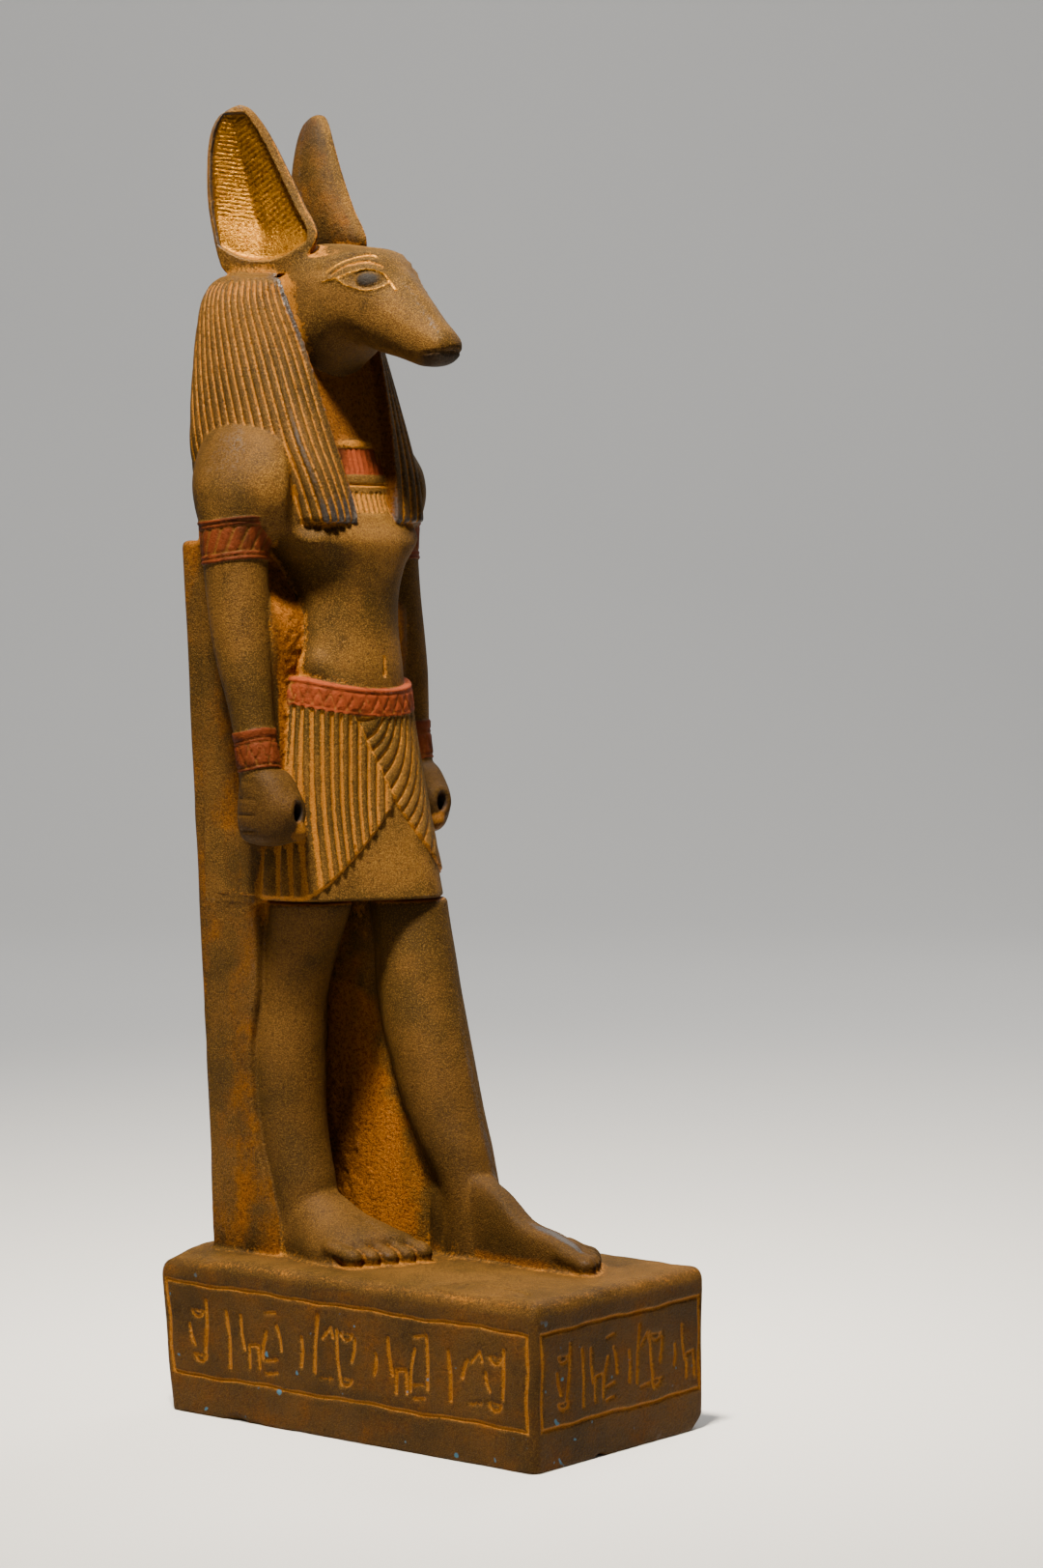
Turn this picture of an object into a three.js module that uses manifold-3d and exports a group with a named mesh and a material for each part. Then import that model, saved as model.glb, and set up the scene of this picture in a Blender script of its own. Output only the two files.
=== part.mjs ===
// A striding jackal-headed figure with a slab behind it, carved in one piece with its plinth.
// Millimetres, +Z up. The origin is the centre of the underside, and the figure faces -Y.
// Its own right side is -X, and its left foot is forward.

import * as THREE from "three";
import { mergeVertices } from "three/addons/utils/BufferGeometryUtils.js";
import Module from "manifold-3d";

const wasm = await Module();
wasm.setup();

// Driving dimensions

const HEIGHT = 300;
const LEAN = Math.tan(THREE.MathUtils.degToRad(2.18)); // the body and its slab lean back from the plinth
const SIDES = [-1, 1]; // the figure's right, then its left

const PLINTH = {
  width: 62.6,
  length: 107.9,
  top: 37.2,
  corner: 2.6,
  edge: 3.2,
  flare: { top: 4.4, foot: 0.2 }, // the back corner on the right leans out
};

const FRAME_LINE = { wide: 1.1, deep: 0.55, low: 9.2, high: 30.2, margin: 2.6 };

const SIDE_WALL = { back: 48.5, inset: 0.15, inner: -2, foot: 36, head: 134 };
const ARM_WALL = { foot: 120, head: 206 };
const LEG_WALL = { inner: 5.9, outer: 17.2, back: 45, foot: 36, head: 123 };
const SLAB = { foot: 20.3, head: 24.1, top: 200.4, back: 50.2, thick: 9.6, corner: 0.9 };

const HEM = 118.5;
const BELT = { high: 169.4, dip: 2.9, wide: 6.2, proud: 0.9 };
const PLEAT = { ridge: 1.0, groove: 0.2, sunk: -1.6, overlap: 0.35 };
const WING = { left: -18.6, apexX: 0.8, apexZ: 141.2, foldX: -8.1, foldZ: 160, endX: 13, endZ: 126 };

const ARM_X = 26.8;
const ARM_ENDS = { low: 141, high: 227.6 };
const LEG_ENDS = { low: 36, high: 124 };
const ARMBAND = { low: 195.4, high: 205, proud: 0.6, tilt: 0.9 };
const WRISTBAND = { low: 148.6, high: 157.4, proud: 0.6, tilt: 0.9 };
const FIST = { low: 131.4, high: 149, grip: 139.3 };

const COLLAR = {
  half: 11,
  bars: 6,
  levels: [204.8, 206.3, 206.7, 211, 211.6, 213.4, 215.2, 215.8, 221.1, 221.6, 223.2],
};
const WIG = { high: 261.9, hem: 204.6, strands: 16, groove: 0.55, ridge: 0.25 };
const EAR = { tipX: 14, tipY: 48, turn: THREE.MathUtils.degToRad(63), low: 260.6, rim: 2.6, ribs: 11 };

const SKIN = { shortest: 0.22, thinnest: 0.02 }; // edges and faces finer than this are drawn together

// Measured sections, lowest or rearmost first, read as smooth curves between their rows

const RIGHT_LEG = curves(["z", "x", "y", "wide", "deep"], [
  [36, -10.8, 30.8, 15.4, 17],
  [46, -10.8, 30.4, 15.4, 16],
  [54, -10.7, 31.4, 16, 16.2],
  [64, -10.6, 34.2, 16.9, 17],
  [76, -10.6, 35.3, 17.5, 17.5],
  [88, -10.5, 35.1, 17.6, 17.6],
  [100, -10.5, 33.7, 17.1, 17.1],
  [112, -10.5, 30.3, 18.6, 18.6],
  [124, -10.5, 28.3, 19.6, 19.8],
]);

const LEFT_LEG = curves(["z", "x", "y", "wide", "deep"], [
  [36, 9.8, -4.2, 14.4, 18.5],
  [46, 10, -3.6, 13.6, 14.4],
  [54, 10.1, -1.3, 14.2, 14.2],
  [62, 10.2, 2.4, 16.6, 16.9],
  [70, 10.4, 6, 18.2, 18.4],
  [79, 10.4, 8.8, 19.1, 19.2],
  [92, 10.4, 12.4, 19.7, 19.7],
  [107, 10.5, 15.1, 18.6, 18.6],
  [124, 10.5, 17.6, 18.2, 18.2],
]);

const WALL_FRONT = curves(["z", "y"], [
  [36, 30.6],
  [46, 31.3],
  [55, 33.7],
  [64, 36.2],
  [76, 37.5],
  [90, 36.9],
  [100, 35.6],
  [117, 35.3],
  [134, 34.5],
]);

const WEB_FRONT = curves(["z", "y"], [
  [120, 34.5],
  [132, 32.6],
  [140, 30.2],
  [160, 29.2],
  [168, 29.4],
  [179, 28.6],
  [184, 28.8],
  [189, 30.9],
  [196, 34.6],
  [206, 40],
]);

// y runs from the heel to the tip of the big toe
const RIGHT_FOOT = foot(
  {
    inner: -3.6, outer: -22.2, heelInner: -4.4, heelOuter: -18,
    heel: 38.5, tip: -3.6, slant: 10, ridge: 0.42,
  },
  [
    [-40, 16],
    [-30, 17],
    [-22, 14],
    [-15, 10.2],
    [-8, 8.1],
    [-3, 6.4],
    [0, 5.2],
    [4, 3.8],
  ],
);

const LEFT_FOOT = foot(
  {
    inner: 1.8, outer: 17.6, heelInner: 4.2, heelOuter: 16.2,
    heel: 6, tip: -43.2, slant: 10, ridge: 0.31,
  },
  [
    [-6, 16],
    [4, 19],
    [14.4, 15.8],
    [22.8, 9.8],
    [31, 7.6],
    [37, 5.4],
    [43.2, 3.4],
  ],
);

const KILT = curves(["z", "half", "y", "deep", "push"], [
  [HEM, 21.6, 30.5, 16.6, 8.5],
  [126, 21, 30.2, 15.6, 7.4],
  [141, 19.5, 29.5, 13.6, 5],
  [156, 17.8, 28.5, 12.9, 2.2],
  [170, 16.4, 27.3, 12.2, 0],
]);

// Each pleat's angle from the front in degrees, at the belt or the fold and at its lower end
const RIGHT_PLEATS = curves(["pleat", "top", "foot"], [
  [0, -86, -82],
  [1, -77, -61],
  [2, -67, -50],
  [3, -57.5, -42.5],
  [4, -49, -36.5],
  [5, -41, -31],
  [6, -33, -26],
  [7, -25.5, -20.5],
  [8, -17.5, -16],
  [9, -9.5, -11],
  [10, -2, -5],
  [10.5, 0.5, -2],
]);

const LEFT_PLEATS = curves(["pleat", "top", "foot"], [
  [0, -27, -27],
  [1, -13, -24],
  [2, -5, -18],
  [4, 8, -11],
  [6, 22, -1],
  [8, 41, 7],
  [10, 58, 15],
  [11, 67, 21],
  [12, 74, 29],
  [13, 80, 42],
  [14, 84, 60],
  [15, 86, 84],
]);

const TORSO = curves(["z", "half", "y", "deep", "square"], [
  [158, 16.6, 27.6, 12.4, 1],
  [166, 15.2, 26.6, 11.6, 1],
  [172, 14.3, 26.2, 11.1, 1],
  [179, 13.5, 26.6, 10.7, 1],
  [185, 13.2, 27.1, 11, 0.96],
  [189, 13.3, 27.4, 11.6, 0.92],
  [192.5, 13.8, 27.6, 12.2, 0.86],
  [195.5, 15, 27.8, 12.5, 0.8],
  [198, 17.2, 28, 12.8, 0.74],
  [200.5, 19.3, 28.4, 12.9, 0.7],
  [204, 20.6, 29.2, 11.9, 0.68],
  [212, 21, 33, 9.4, 0.7],
  [222, 16, 38, 7, 1],
]);

const ARM = curves(["z", "x", "y", "wide", "deep"], [
  [141, 26.6, 28.4, 9.4, 9.4],
  [148, 26.9, 29.3, 9.4, 9.4],
  [156, 27.2, 30.6, 9.4, 9.4],
  [163, 27.5, 31.6, 10.2, 10.2],
  [170, 27.6, 33, 11.8, 11.8],
  [178, 27.2, 34.6, 13.4, 13.4],
  [187, 26.8, 36, 14.2, 14.2],
  [196, 26.5, 37, 14.9, 14.9],
  [203, 25.9, 37.4, 15.8, 16.8],
  [208, 25.3, 37.6, 17.4, 20.6],
  [213, 24.2, 37.9, 18.4, 23.6],
  [218, 22.8, 38.3, 16.4, 25],
  [224, 21.2, 39.4, 12, 20.6],
  [227.6, 20.6, 40.6, 5, 9],
]);

const HAND = curves(["z", "y", "wide", "deep"], [
  [131.4, 27.6, 5.4, 8],
  [132.6, 27.4, 8.6, 12.4],
  [136, 27, 11.2, 15.2],
  [140.5, 26.8, 11.9, 15.6],
  [145, 27.6, 11.2, 13],
  [149, 28.9, 9.8, 9.8],
]);

// s runs forward from the back of the skull, so it is -y
const HEAD = curves(["s", "high", "low", "half"], [
  [-47, 261.5, 244, 9],
  [-42, 265.2, 240, 12],
  [-34, 268.2, 236, 13.4],
  [-27, 268.2, 240, 13],
  [-20, 267.3, 244.6, 11.6],
  [-14, 266.3, 243, 10.2],
  [-11.5, 264.5, 242.3, 9.4],
  [-9.5, 262, 241.8, 8.6],
  [-7, 259.7, 241, 7.7],
  [-3, 255.4, 239.7, 6.1],
  [1, 250.8, 239.6, 5.1],
  [4, 247.7, 240.6, 4.4],
  [5.6, 245.2, 242.3, 2.2],
]);

const LAPPET = curves(["z", "innerX", "innerY", "outerX", "outerY"], [
  [196, 6.6, 17, 15.8, 17.6],
  [WIG.hem, 6.8, 17, 16.7, 17.4],
  [214, 8.4, 18.8, 18, 19.6],
  [223, 10, 21, 19.2, 23.4],
  [234, 11.6, 24.2, 19.4, 27.6],
  [245, 13, 27.6, 18.8, 31.4],
  [255, 14.6, 31, 18, 34.6],
  [260, 14, 33.5, 16, 36.4],
  [WIG.high, 10, 38, 11, 40],
]);

const MANE = curves(["z", "half", "front", "back"], [
  [196, 21.5, 34, 56.2],
  [WIG.hem, 21.5, 32, 56.4],
  [214, 22.8, 33, 56.5],
  [223, 24.4, 35, 56.3],
  [234, 24.3, 38, 56],
  [245, 23.6, 41, 55.5],
  [254, 22.6, 43, 54.6],
  [258.5, 21, 44, 53.4],
  [261, 18, 45, 51.6],
  [WIG.high, 14, 46, 50],
]);

const EAR_EDGE = curves(["z", "front", "rear", "deep", "bend"], [
  [EAR.low, -8, -1, 2, 2],
  [262, -14.5, 2.6, 4.2, 3.5],
  [265, -17.8, 4.2, 5.4, 4.4],
  [270, -20.2, 5.4, 6.4, 4.2],
  [277, -16.6, 6.6, 6.8, 2.6],
  [285, -12.5, 6.9, 6.2, 1.4],
  [293, -8.2, 6.2, 4.6, 0.8],
  [297.6, -5, 4, 3.2, 0.8],
  [299.4, -3, 1, 1.8, 0.6],
  [HEIGHT, -1.4, -0.6, 0.8, 0.4],
]);

// Curves and small helpers

// A table of sections as one smooth function of its first column for every other column.
function curves(names, rows) {
  const places = rows.map((row) => row[0]);
  const all = {};
  names.slice(1).forEach((name, i) => {
    const values = rows.map((row) => row[i + 1]);
    const curve = new THREE.CubicInterpolant(places, values, 1);
    all[name] = (place) => curve.evaluate(place)[0];
  });
  return all;
}

function smooth(t) {
  return THREE.MathUtils.smoothstep(t, 0, 1);
}

function mix(a, b, t) {
  return THREE.MathUtils.lerp(a, b, t);
}

function power(value, exponent) {
  return Math.sign(value) * Math.abs(value) ** exponent;
}

// Solids from three.js geometry

// A closed geometry as a solid that can be joined and cut.
function solid(geometry) {
  geometry.deleteAttribute("normal");
  geometry.deleteAttribute("uv");
  const merged = mergeVertices(geometry, 1e-4);
  const corners = merged.index.array;
  const kept = [];
  for (let i = 0; i < corners.length; i += 3) {
    const [a, b, c] = [corners[i], corners[i + 1], corners[i + 2]];
    if (a !== b && b !== c && c !== a) kept.push(a, b, c);
  }
  const mesh = new wasm.Mesh({
    numProp: 3,
    vertProperties: new Float32Array(merged.attributes.position.array),
    triVerts: new Uint32Array(kept),
  });
  return new wasm.Manifold(mesh);
}

// Moves every point of a geometry to the place that `place` gives for it.
function moved(geometry, place) {
  const points = geometry.attributes.position;
  const point = new THREE.Vector3();
  for (let i = 0; i < points.count; i += 1) {
    point.copy(place(point.fromBufferAttribute(points, i).clone()));
    points.setXYZ(i, point.x, point.y, point.z);
  }
  return geometry;
}

// Stacked sections. `at(t, turn, reach)` has t from 0 at the foot to 1 at the head, turn from 0 at the
// front anticlockwise to 1, and reach 1 on the skin and 0 on the axis.
function loft(sides, rows, at) {
  const drum = new THREE.CylinderGeometry(1, 1, 1, sides, rows).rotateX(Math.PI / 2);
  return solid(
    moved(drum, (p) => {
      const turn = Math.atan2(p.x, -p.y) / (2 * Math.PI);
      return at(p.z + 0.5, turn < -1e-6 ? turn + 1 : Math.abs(turn), Math.hypot(p.x, p.y) > 0.5 ? 1 : 0);
    }),
  );
}

// A plate bent over a form. `at(u, v, w)` has u and v along it, and w 0 on its back and 1 on its face.
function plate(columns, rows, at) {
  const sheet = new THREE.BoxGeometry(1, 1, 1, columns, rows, 1);
  return solid(moved(sheet, (p) => at(p.x + 0.5, p.y + 0.5, p.z + 0.5)));
}

function ball(centre, radii, around = 14, up = 8) {
  const sphere = new THREE.SphereGeometry(1, around, up).rotateX(Math.PI / 2);
  sphere.scale(...radii).translate(...centre);
  return solid(sphere);
}

// A square bar between two points, with one of its edges towards `out`: a V-shaped groove when cut.
function groove(from, to, wide, deep, out) {
  const along = to.clone().sub(from);
  const across = out.clone().cross(along).normalize();
  const box = new THREE.BoxGeometry(1, 1, 1);
  return solid(
    moved(box, (p) => {
      const corner = Math.round(Math.atan2(p.y, p.x) / (Math.PI / 2) - 0.5);
      const swing = (corner * Math.PI) / 2;
      return from
        .clone()
        .addScaledVector(along, p.z + 0.5)
        .addScaledVector(across, (Math.cos(swing) * wide) / 2)
        .addScaledVector(out, Math.sin(swing) * deep);
    }),
  );
}

function joined(parts) {
  return parts.reduce((whole, part) => whole.add(part));
}

function cutBy(whole, cutters) {
  return cutters.length ? whole.subtract(joined(cutters)) : whole;
}

// A point on a rectangle with round corners, in four equal quarters of `steps` points each.
function roundRectangle(turn, halfX, halfY, radius, steps) {
  const count = Math.round(turn * 4 * steps) % (4 * steps);
  const quarter = Math.floor(count / steps);
  const share = steps > 1 ? (count % steps) / (steps - 1) : 0.5;
  const swing = ((quarter + share) * Math.PI) / 2;
  const centreX = (quarter === 0 || quarter === 1 ? 1 : -1) * (halfX - radius);
  const centreY = (quarter === 1 || quarter === 2 ? 1 : -1) * (halfY - radius);
  return [centreX + radius * Math.sin(swing), centreY - radius * Math.cos(swing)];
}

// Plinth

function plinth() {
  const rows = [
    [0, 0.9],
    [0.8, 0],
    [PLINTH.top - PLINTH.edge, 0],
    [PLINTH.top - PLINTH.edge * 0.42, 0.8],
    [PLINTH.top - PLINTH.edge * 0.12, 1.9],
    [PLINTH.top, 3.4],
  ];
  return loft(16, rows.length - 1, (t, turn, reach) => {
    const [z, inset] = rows[Math.round(t * (rows.length - 1))];
    if (!reach) return new THREE.Vector3(0, 0, z);
    const [x, y] = roundRectangle(
      turn, PLINTH.width / 2 - inset, PLINTH.length / 2 - inset, PLINTH.corner, 4);
    return new THREE.Vector3(x, y + flare(x, y, z), z);
  });
}

// How far the plinth's back right corner leans out at a height.
function flare(x, y, z) {
  const share = smooth(0.5 - x / PLINTH.width) * (y > 0 ? 1 : 0);
  return share * mix(PLINTH.flare.foot, PLINTH.flare.top, z / PLINTH.top);
}

// The four upright faces of the plinth: the middle of each, the way along it and the way out of it.
function plinthFaces() {
  const [x, y] = [PLINTH.width / 2, PLINTH.length / 2];
  return [
    { half: y, at: (s) => new THREE.Vector3(-x, -s, 0), out: new THREE.Vector3(-1, 0, 0), groups: 9 },
    { half: x, at: (s) => new THREE.Vector3(s, -y, 0), out: new THREE.Vector3(0, -1, 0), groups: 6 },
    { half: y, at: (s) => new THREE.Vector3(x, s, 0), out: new THREE.Vector3(1, 0, 0), groups: 0 },
    { half: x, at: (s) => new THREE.Vector3(-s, y, 0), out: new THREE.Vector3(0, 1, 0), groups: 0 },
  ];
}

function onFace(face, along, z) {
  const point = face.at(along);
  return new THREE.Vector3(point.x, point.y + flare(point.x, point.y, z), z);
}

function frameLines() {
  const cuts = [];
  for (const face of plinthFaces()) {
    const end = face.half - FRAME_LINE.margin;
    const corners = [
      [-end, FRAME_LINE.low],
      [end, FRAME_LINE.low],
      [end, FRAME_LINE.high],
      [-end, FRAME_LINE.high],
    ].map(([along, z]) => onFace(face, along, z));
    corners.forEach((corner, i) => {
      const next = corners[(i + 1) % 4];
      cuts.push(groove(corner, next, FRAME_LINE.wide, FRAME_LINE.deep, face.out));
    });
  }
  return cuts;
}

// Rows of plain upright strokes where the writing was.
function strokes() {
  const cuts = [];
  for (const face of plinthFaces()) {
    const pitch = (2 * (face.half - 6)) / Math.max(face.groups, 1);
    for (let i = 0; i < face.groups; i += 1) {
      const middle = -face.half + 6 + pitch * (i + 0.5);
      for (const side of [-1, 1]) {
        const tall = 4.2 + 2.2 * Math.sin(2.3 * i + side);
        const slant = 0.7 * Math.sin(1.7 * i + 2 * side);
        const centre = 19.6 + 1.1 * side;
        const along = middle + side * pitch * 0.2;
        cuts.push(
          groove(onFace(face, along - slant, centre - tall), onFace(face, along + slant, centre + tall),
            FRAME_LINE.wide, FRAME_LINE.deep, face.out));
      }
    }
  }
  return cuts;
}

// Slab behind the figure, and the stone left between the limbs

function slab() {
  const rows = [30, PLINTH.top, SLAB.top - 1.4, SLAB.top];
  return loft(8, rows.length - 1, (t, turn, reach) => {
    const z = rows[Math.round(t * (rows.length - 1))];
    const half = slabHalf(z);
    const inset = z > SLAB.top - 1 ? SLAB.corner : 0;
    const middle = SLAB.back + (z - PLINTH.top) * LEAN - SLAB.thick / 2;
    if (!reach) return new THREE.Vector3(0, middle, z);
    const [x, y] = roundRectangle(turn, half - inset, SLAB.thick / 2 - inset / 2, SLAB.corner, 2);
    return new THREE.Vector3(x, middle + y, z);
  });
}

function slabHalf(z) {
  return mix(SLAB.foot, SLAB.head, (z - PLINTH.top) / (SLAB.top - PLINTH.top));
}

// Stone left in front of the slab and flush with its right side. `front` gives how far forward it comes
// at a height, and `reach` how far it goes towards the left.
function flushWall(front, size, reach, rows) {
  return plate(1, rows, (u, v, w) => {
    const z = mix(size.foot, size.head, v);
    const x = mix(SIDE_WALL.inset - slabHalf(z), reach(z), u);
    return new THREE.Vector3(x, w > 0.5 ? front.y(z) : SIDE_WALL.back, z);
  });
}

// Wall behind the right leg and beside the kilt.
function rightWall() {
  return flushWall(WALL_FRONT, SIDE_WALL, () => SIDE_WALL.inner, 6);
}

// Wall that holds the arms to the slab and fills the gap between them and the body.
function armWall() {
  return flushWall(WEB_FRONT, ARM_WALL, (z) => slabHalf(z) - SIDE_WALL.inset, 8);
}

// Wall from the slab to the back of the advanced leg.
function legWall() {
  return plate(1, 6, (u, v, w) => {
    const z = mix(LEG_WALL.foot, LEG_WALL.head, v);
    const y = mix(LEG_WALL.back, LEFT_LEG.y(z) + 1, w);
    return new THREE.Vector3(mix(LEG_WALL.inner, LEG_WALL.outer, u), y, z);
  });
}

// Legs and feet

function limb(table, from, to, sides, rows, mirror = 1) {
  return loft(sides, rows, (t, turn, reach) => {
    const z = mix(from, to, t);
    const swing = 2 * Math.PI * turn;
    return new THREE.Vector3(
      mirror * (table.x(z) + (mirror * reach * table.wide(z) * Math.sin(swing)) / 2),
      table.y(z) - (reach * table.deep(z) * Math.cos(swing)) / 2,
      z,
    );
  });
}

function foot(size, heights) {
  return { ...size, ...curves(["s", "high"], heights) };
}

// A foot from heel to toes: an instep that falls from its ridge to both sides, and five crowned toes.
function footSolid(shape) {
  const toes = 5;
  return plate(2 * toes, 9, (u, v, w) => {
    const across = shape.outer < shape.inner ? u : 1 - u;
    const column = Math.round(u * 2 * toes);
    const tip = shape.tip + shape.slant * across ** 1.5;
    const along = v ** 0.8;
    const y = mix(shape.heel, tip, along);
    const spread = smooth((along - 0.1) / 0.65);
    const inner = mix(shape.heelInner, shape.inner, spread);
    const outer = mix(shape.heelOuter, shape.outer, spread);
    const end = Math.max(Math.sin(Math.PI * Math.min(1, 0.3 + along)), along > 0.2 ? 1 : 0);
    const x = mix(inner, outer, 0.5 + (across - 0.5) * mix(end, 1, 0.55));
    const ridge = mix(0.5, shape.ridge, smooth(along * 1.4));
    const fall = across < ridge ? (ridge - across) / ridge : (across - ridge) / (1 - ridge);
    const square = across < ridge ? mix(2, 3.4, smooth((along - 0.25) / 0.3)) : 2;
    const bow = (1 - Math.min(1, fall) ** square) ** (1 / square);
    const nearTip = smooth((along - 0.84) / 0.1);
    const crown = mix(mix(0.12, 1, bow), column % 2 ? 1 : 0.45, nearTip);
    const rounding = Math.sqrt(Math.max(0, 1 - Math.max(0, (along - 0.9) / 0.1) ** 2));
    const high = Math.max(shape.high(-y + (tip - shape.tip) * along), 3.4) * crown * mix(rounding, 1, 0.25);
    return new THREE.Vector3(x, y, PLINTH.top + (w > 0.5 ? high : -1.5));
  });
}

// Kilt, belt and body

// A point round the kilt at an angle from the front, lifted from its skin by `out`.
function kiltSkin(angle, z, out = 0) {
  const front = Math.cos(angle) > 0;
  const deep = front ? KILT.deep(z) + out : 46 - KILT.y(z);
  const x = (KILT.half(z) + out) * power(Math.sin(angle), front ? 1 : 0.6);
  const lean = front ? KILT.push(z) * smooth((x + 12) / 24) * smooth(Math.cos(angle) * 3) : 0;
  return new THREE.Vector3(x, KILT.y(z) - deep * Math.cos(angle) - lean, z);
}

function kiltBody() {
  return loft(24, 3, (t, turn, reach) => {
    const z = mix(HEM, 164, t);
    return reach ? kiltSkin(2 * Math.PI * turn, z) : new THREE.Vector3(0, KILT.y(z), z);
  });
}

// Height of the right wing's lower edge, a curve from the hem up to the apex of the flap.
function rightWingEdge(x) {
  const s = THREE.MathUtils.clamp((x - WING.left) / (WING.apexX - WING.left), 0, 1);
  return HEM + 0.9 + (WING.apexZ - HEM - 0.9) * (0.75 * s + 0.25 * s * s);
}

// Height of the left wing's lower edge, from the fold at the belt past the apex to the left side.
function leftWingEdge(x) {
  const s = Math.min((x - WING.foldX) / (WING.endX - WING.foldX), 1.4);
  return Math.max(HEM + 0.9, WING.foldZ - (WING.foldZ - WING.endZ) * (1.537 * s - 0.537 * s * s));
}

// Height of the belt's lower edge at an angle from the front.
function beltFoot(angle) {
  return BELT.high - BELT.wide - BELT.dip * Math.max(0, Math.cos(angle)) ** 1.5;
}

// Height of the fold from the belt down to the apex of the flap.
function foldLine(x) {
  return mix(WING.foldZ, WING.apexZ, (x - WING.foldX) / (WING.apexX - WING.foldX)) + 0.6;
}

// A pleated wing, with a ridge on every second column. `edge` gives its lower edge at an x, `head` its
// upper one, and `bend` how far along and down the middle of a pleat is drawn.
function wing(pleats, columns, edge, head, bend, over) {
  const place = (degrees, height) => {
    const angle = THREE.MathUtils.degToRad(degrees);
    return { angle, z: height(KILT.half(140) * Math.sin(angle), angle) };
  };
  return plate(columns, 4, (u, v, w) => {
    const column = Math.round(u * columns);
    const top = place(pleats.top(column / 2), head);
    const foot = place(pleats.foot(column / 2), edge);
    const middle = { angle: mix(top.angle, foot.angle, bend.along), z: mix(top.z, foot.z, bend.down) };
    const blend = (key) => (1 - v) ** 2 * foot[key] + 2 * v * (1 - v) * middle[key] + v * v * top[key];
    const lift = column % 2 ? PLEAT.ridge : PLEAT.groove;
    return kiltSkin(blend("angle"), blend("z"), w > 0.5 ? lift + over : PLEAT.sunk);
  });
}

function rightWing() {
  const head = (x, angle) => Math.min(beltFoot(angle) - 0.1, foldLine(x));
  return wing(RIGHT_PLEATS, 21, rightWingEdge, head, { along: 0.5, down: 0.5 }, 0);
}

function leftWing() {
  const head = (x, angle) => beltFoot(angle) - 0.1;
  return wing(LEFT_PLEATS, 30, leftWingEdge, head, { along: 0.14, down: 0.62 }, PLEAT.overlap);
}

function beltBand() {
  return loft(24, 1, (t, turn, reach) => {
    const angle = 2 * Math.PI * turn;
    const z = beltFoot(angle) + BELT.wide * t;
    if (!reach) return new THREE.Vector3(0, KILT.y(z), z);
    return kiltSkin(angle, z, BELT.proud - 0.25 * t);
  });
}

function torso() {
  return loft(16, 8, (t, turn, reach) => {
    const z = mix(160, 222, t);
    const swing = 2 * Math.PI * turn;
    const front = Math.cos(swing) > 0;
    const deep = front ? TORSO.deep(z) : 46 - TORSO.y(z);
    return new THREE.Vector3(
      reach * TORSO.half(z) * power(Math.sin(swing), TORSO.square(z)),
      TORSO.y(z) - reach * deep * power(Math.cos(swing), TORSO.square(z)),
      z,
    );
  });
}

// The front of each shoulder, between the arm and the chest.
function shoulders() {
  return SIDES.map((side) => ball([side * 18.5, 32, 211], [11, 9.6, 10.4], 12, 6));
}

function navel() {
  return [
    ball([0, 14.9, 170.2], [1.1, 1.2, 1.3], 6, 4),
    groove(new THREE.Vector3(0, 14.9, 170.4), new THREE.Vector3(0, 15.2, 173.8),
      0.7, 0.5, new THREE.Vector3(0, -1, 0)),
  ];
}

// Arms, bands and fists

// A ring round an arm, its borders standing higher than the panel between them.
function band(side, size) {
  const levels = [0, 0.17, 0.22, 0.78, 0.83, 1];
  const lift = [1, 1, 0.45, 0.45, 1, 1];
  return loft(12, levels.length - 1, (t, turn, reach) => {
    const row = Math.round(t * (levels.length - 1));
    const swing = 2 * Math.PI * turn;
    const z = mix(size.low, size.high, levels[row]) + reach * size.tilt * Math.cos(swing);
    const grow = size.proud * lift[row];
    return new THREE.Vector3(
      side * ARM.x(z) + reach * (ARM.wide(z) / 2 + grow) * Math.sin(swing),
      ARM.y(z) - reach * (ARM.deep(z) / 2 + grow) * Math.cos(swing),
      z,
    );
  });
}

// A closed hand: a rounded block with the knuckles to the front, a grip hole and a thumb below it.
function fist(side) {
  const block = loft(12, 5, (t, turn, reach) => {
    const z = mix(FIST.low, FIST.high, t);
    const swing = 2 * Math.PI * turn;
    return new THREE.Vector3(
      side * (ARM_X - 0.8) + (reach * HAND.wide(z) * power(Math.sin(swing), 0.8)) / 2,
      HAND.y(z) - (reach * HAND.deep(z) * power(Math.cos(swing), 0.8)) / 2,
      z,
    );
  });
  const inner = side * (ARM_X - 2.6);
  const thumb = ball([inner, 21.2, 134.9], [2.3, 2.9, 2.5], 8, 6);
  const grip = ball([side * (ARM_X - 1.4), 19.2, FIST.grip], [1.4, 5, 2.1], 8, 6);
  return cutBy(block.add(thumb), [grip]);
}

function arm(side) {
  const bare = limb(ARM, ARM_ENDS.low, ARM_ENDS.high, 12, 10, side);
  return joined([bare, band(side, ARMBAND), band(side, WRISTBAND), fist(side)]);
}

// Collar

// Lift of the collar's face at a height and across it: straps, then two rows of upright bars.
function collarLift(column, z) {
  const bar = column % 2 ? 0.9 : 0.35;
  if (z > 221.4) return 1.1;
  if (z > 215.6) return bar;
  if (z > 211.4) return z > 213.6 ? 1 : 0.5;
  return z > 206.4 ? bar : 1.1;
}

function collar() {
  const columns = 2 * COLLAR.bars;
  const steps = COLLAR.levels.length - 1;
  return plate(columns, steps, (u, v, w) => {
    const z = COLLAR.levels[Math.round(v * steps)];
    const x = mix(-COLLAR.half, COLLAR.half, u);
    const skin = 18.9 + (z - COLLAR.levels[0]) * 0.34 + x * x * 0.012;
    const lift = w > 0.5 ? collarLift(Math.round(u * columns), z) : -4;
    return new THREE.Vector3(x, skin - lift, z);
  });
}

// Wig

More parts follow.
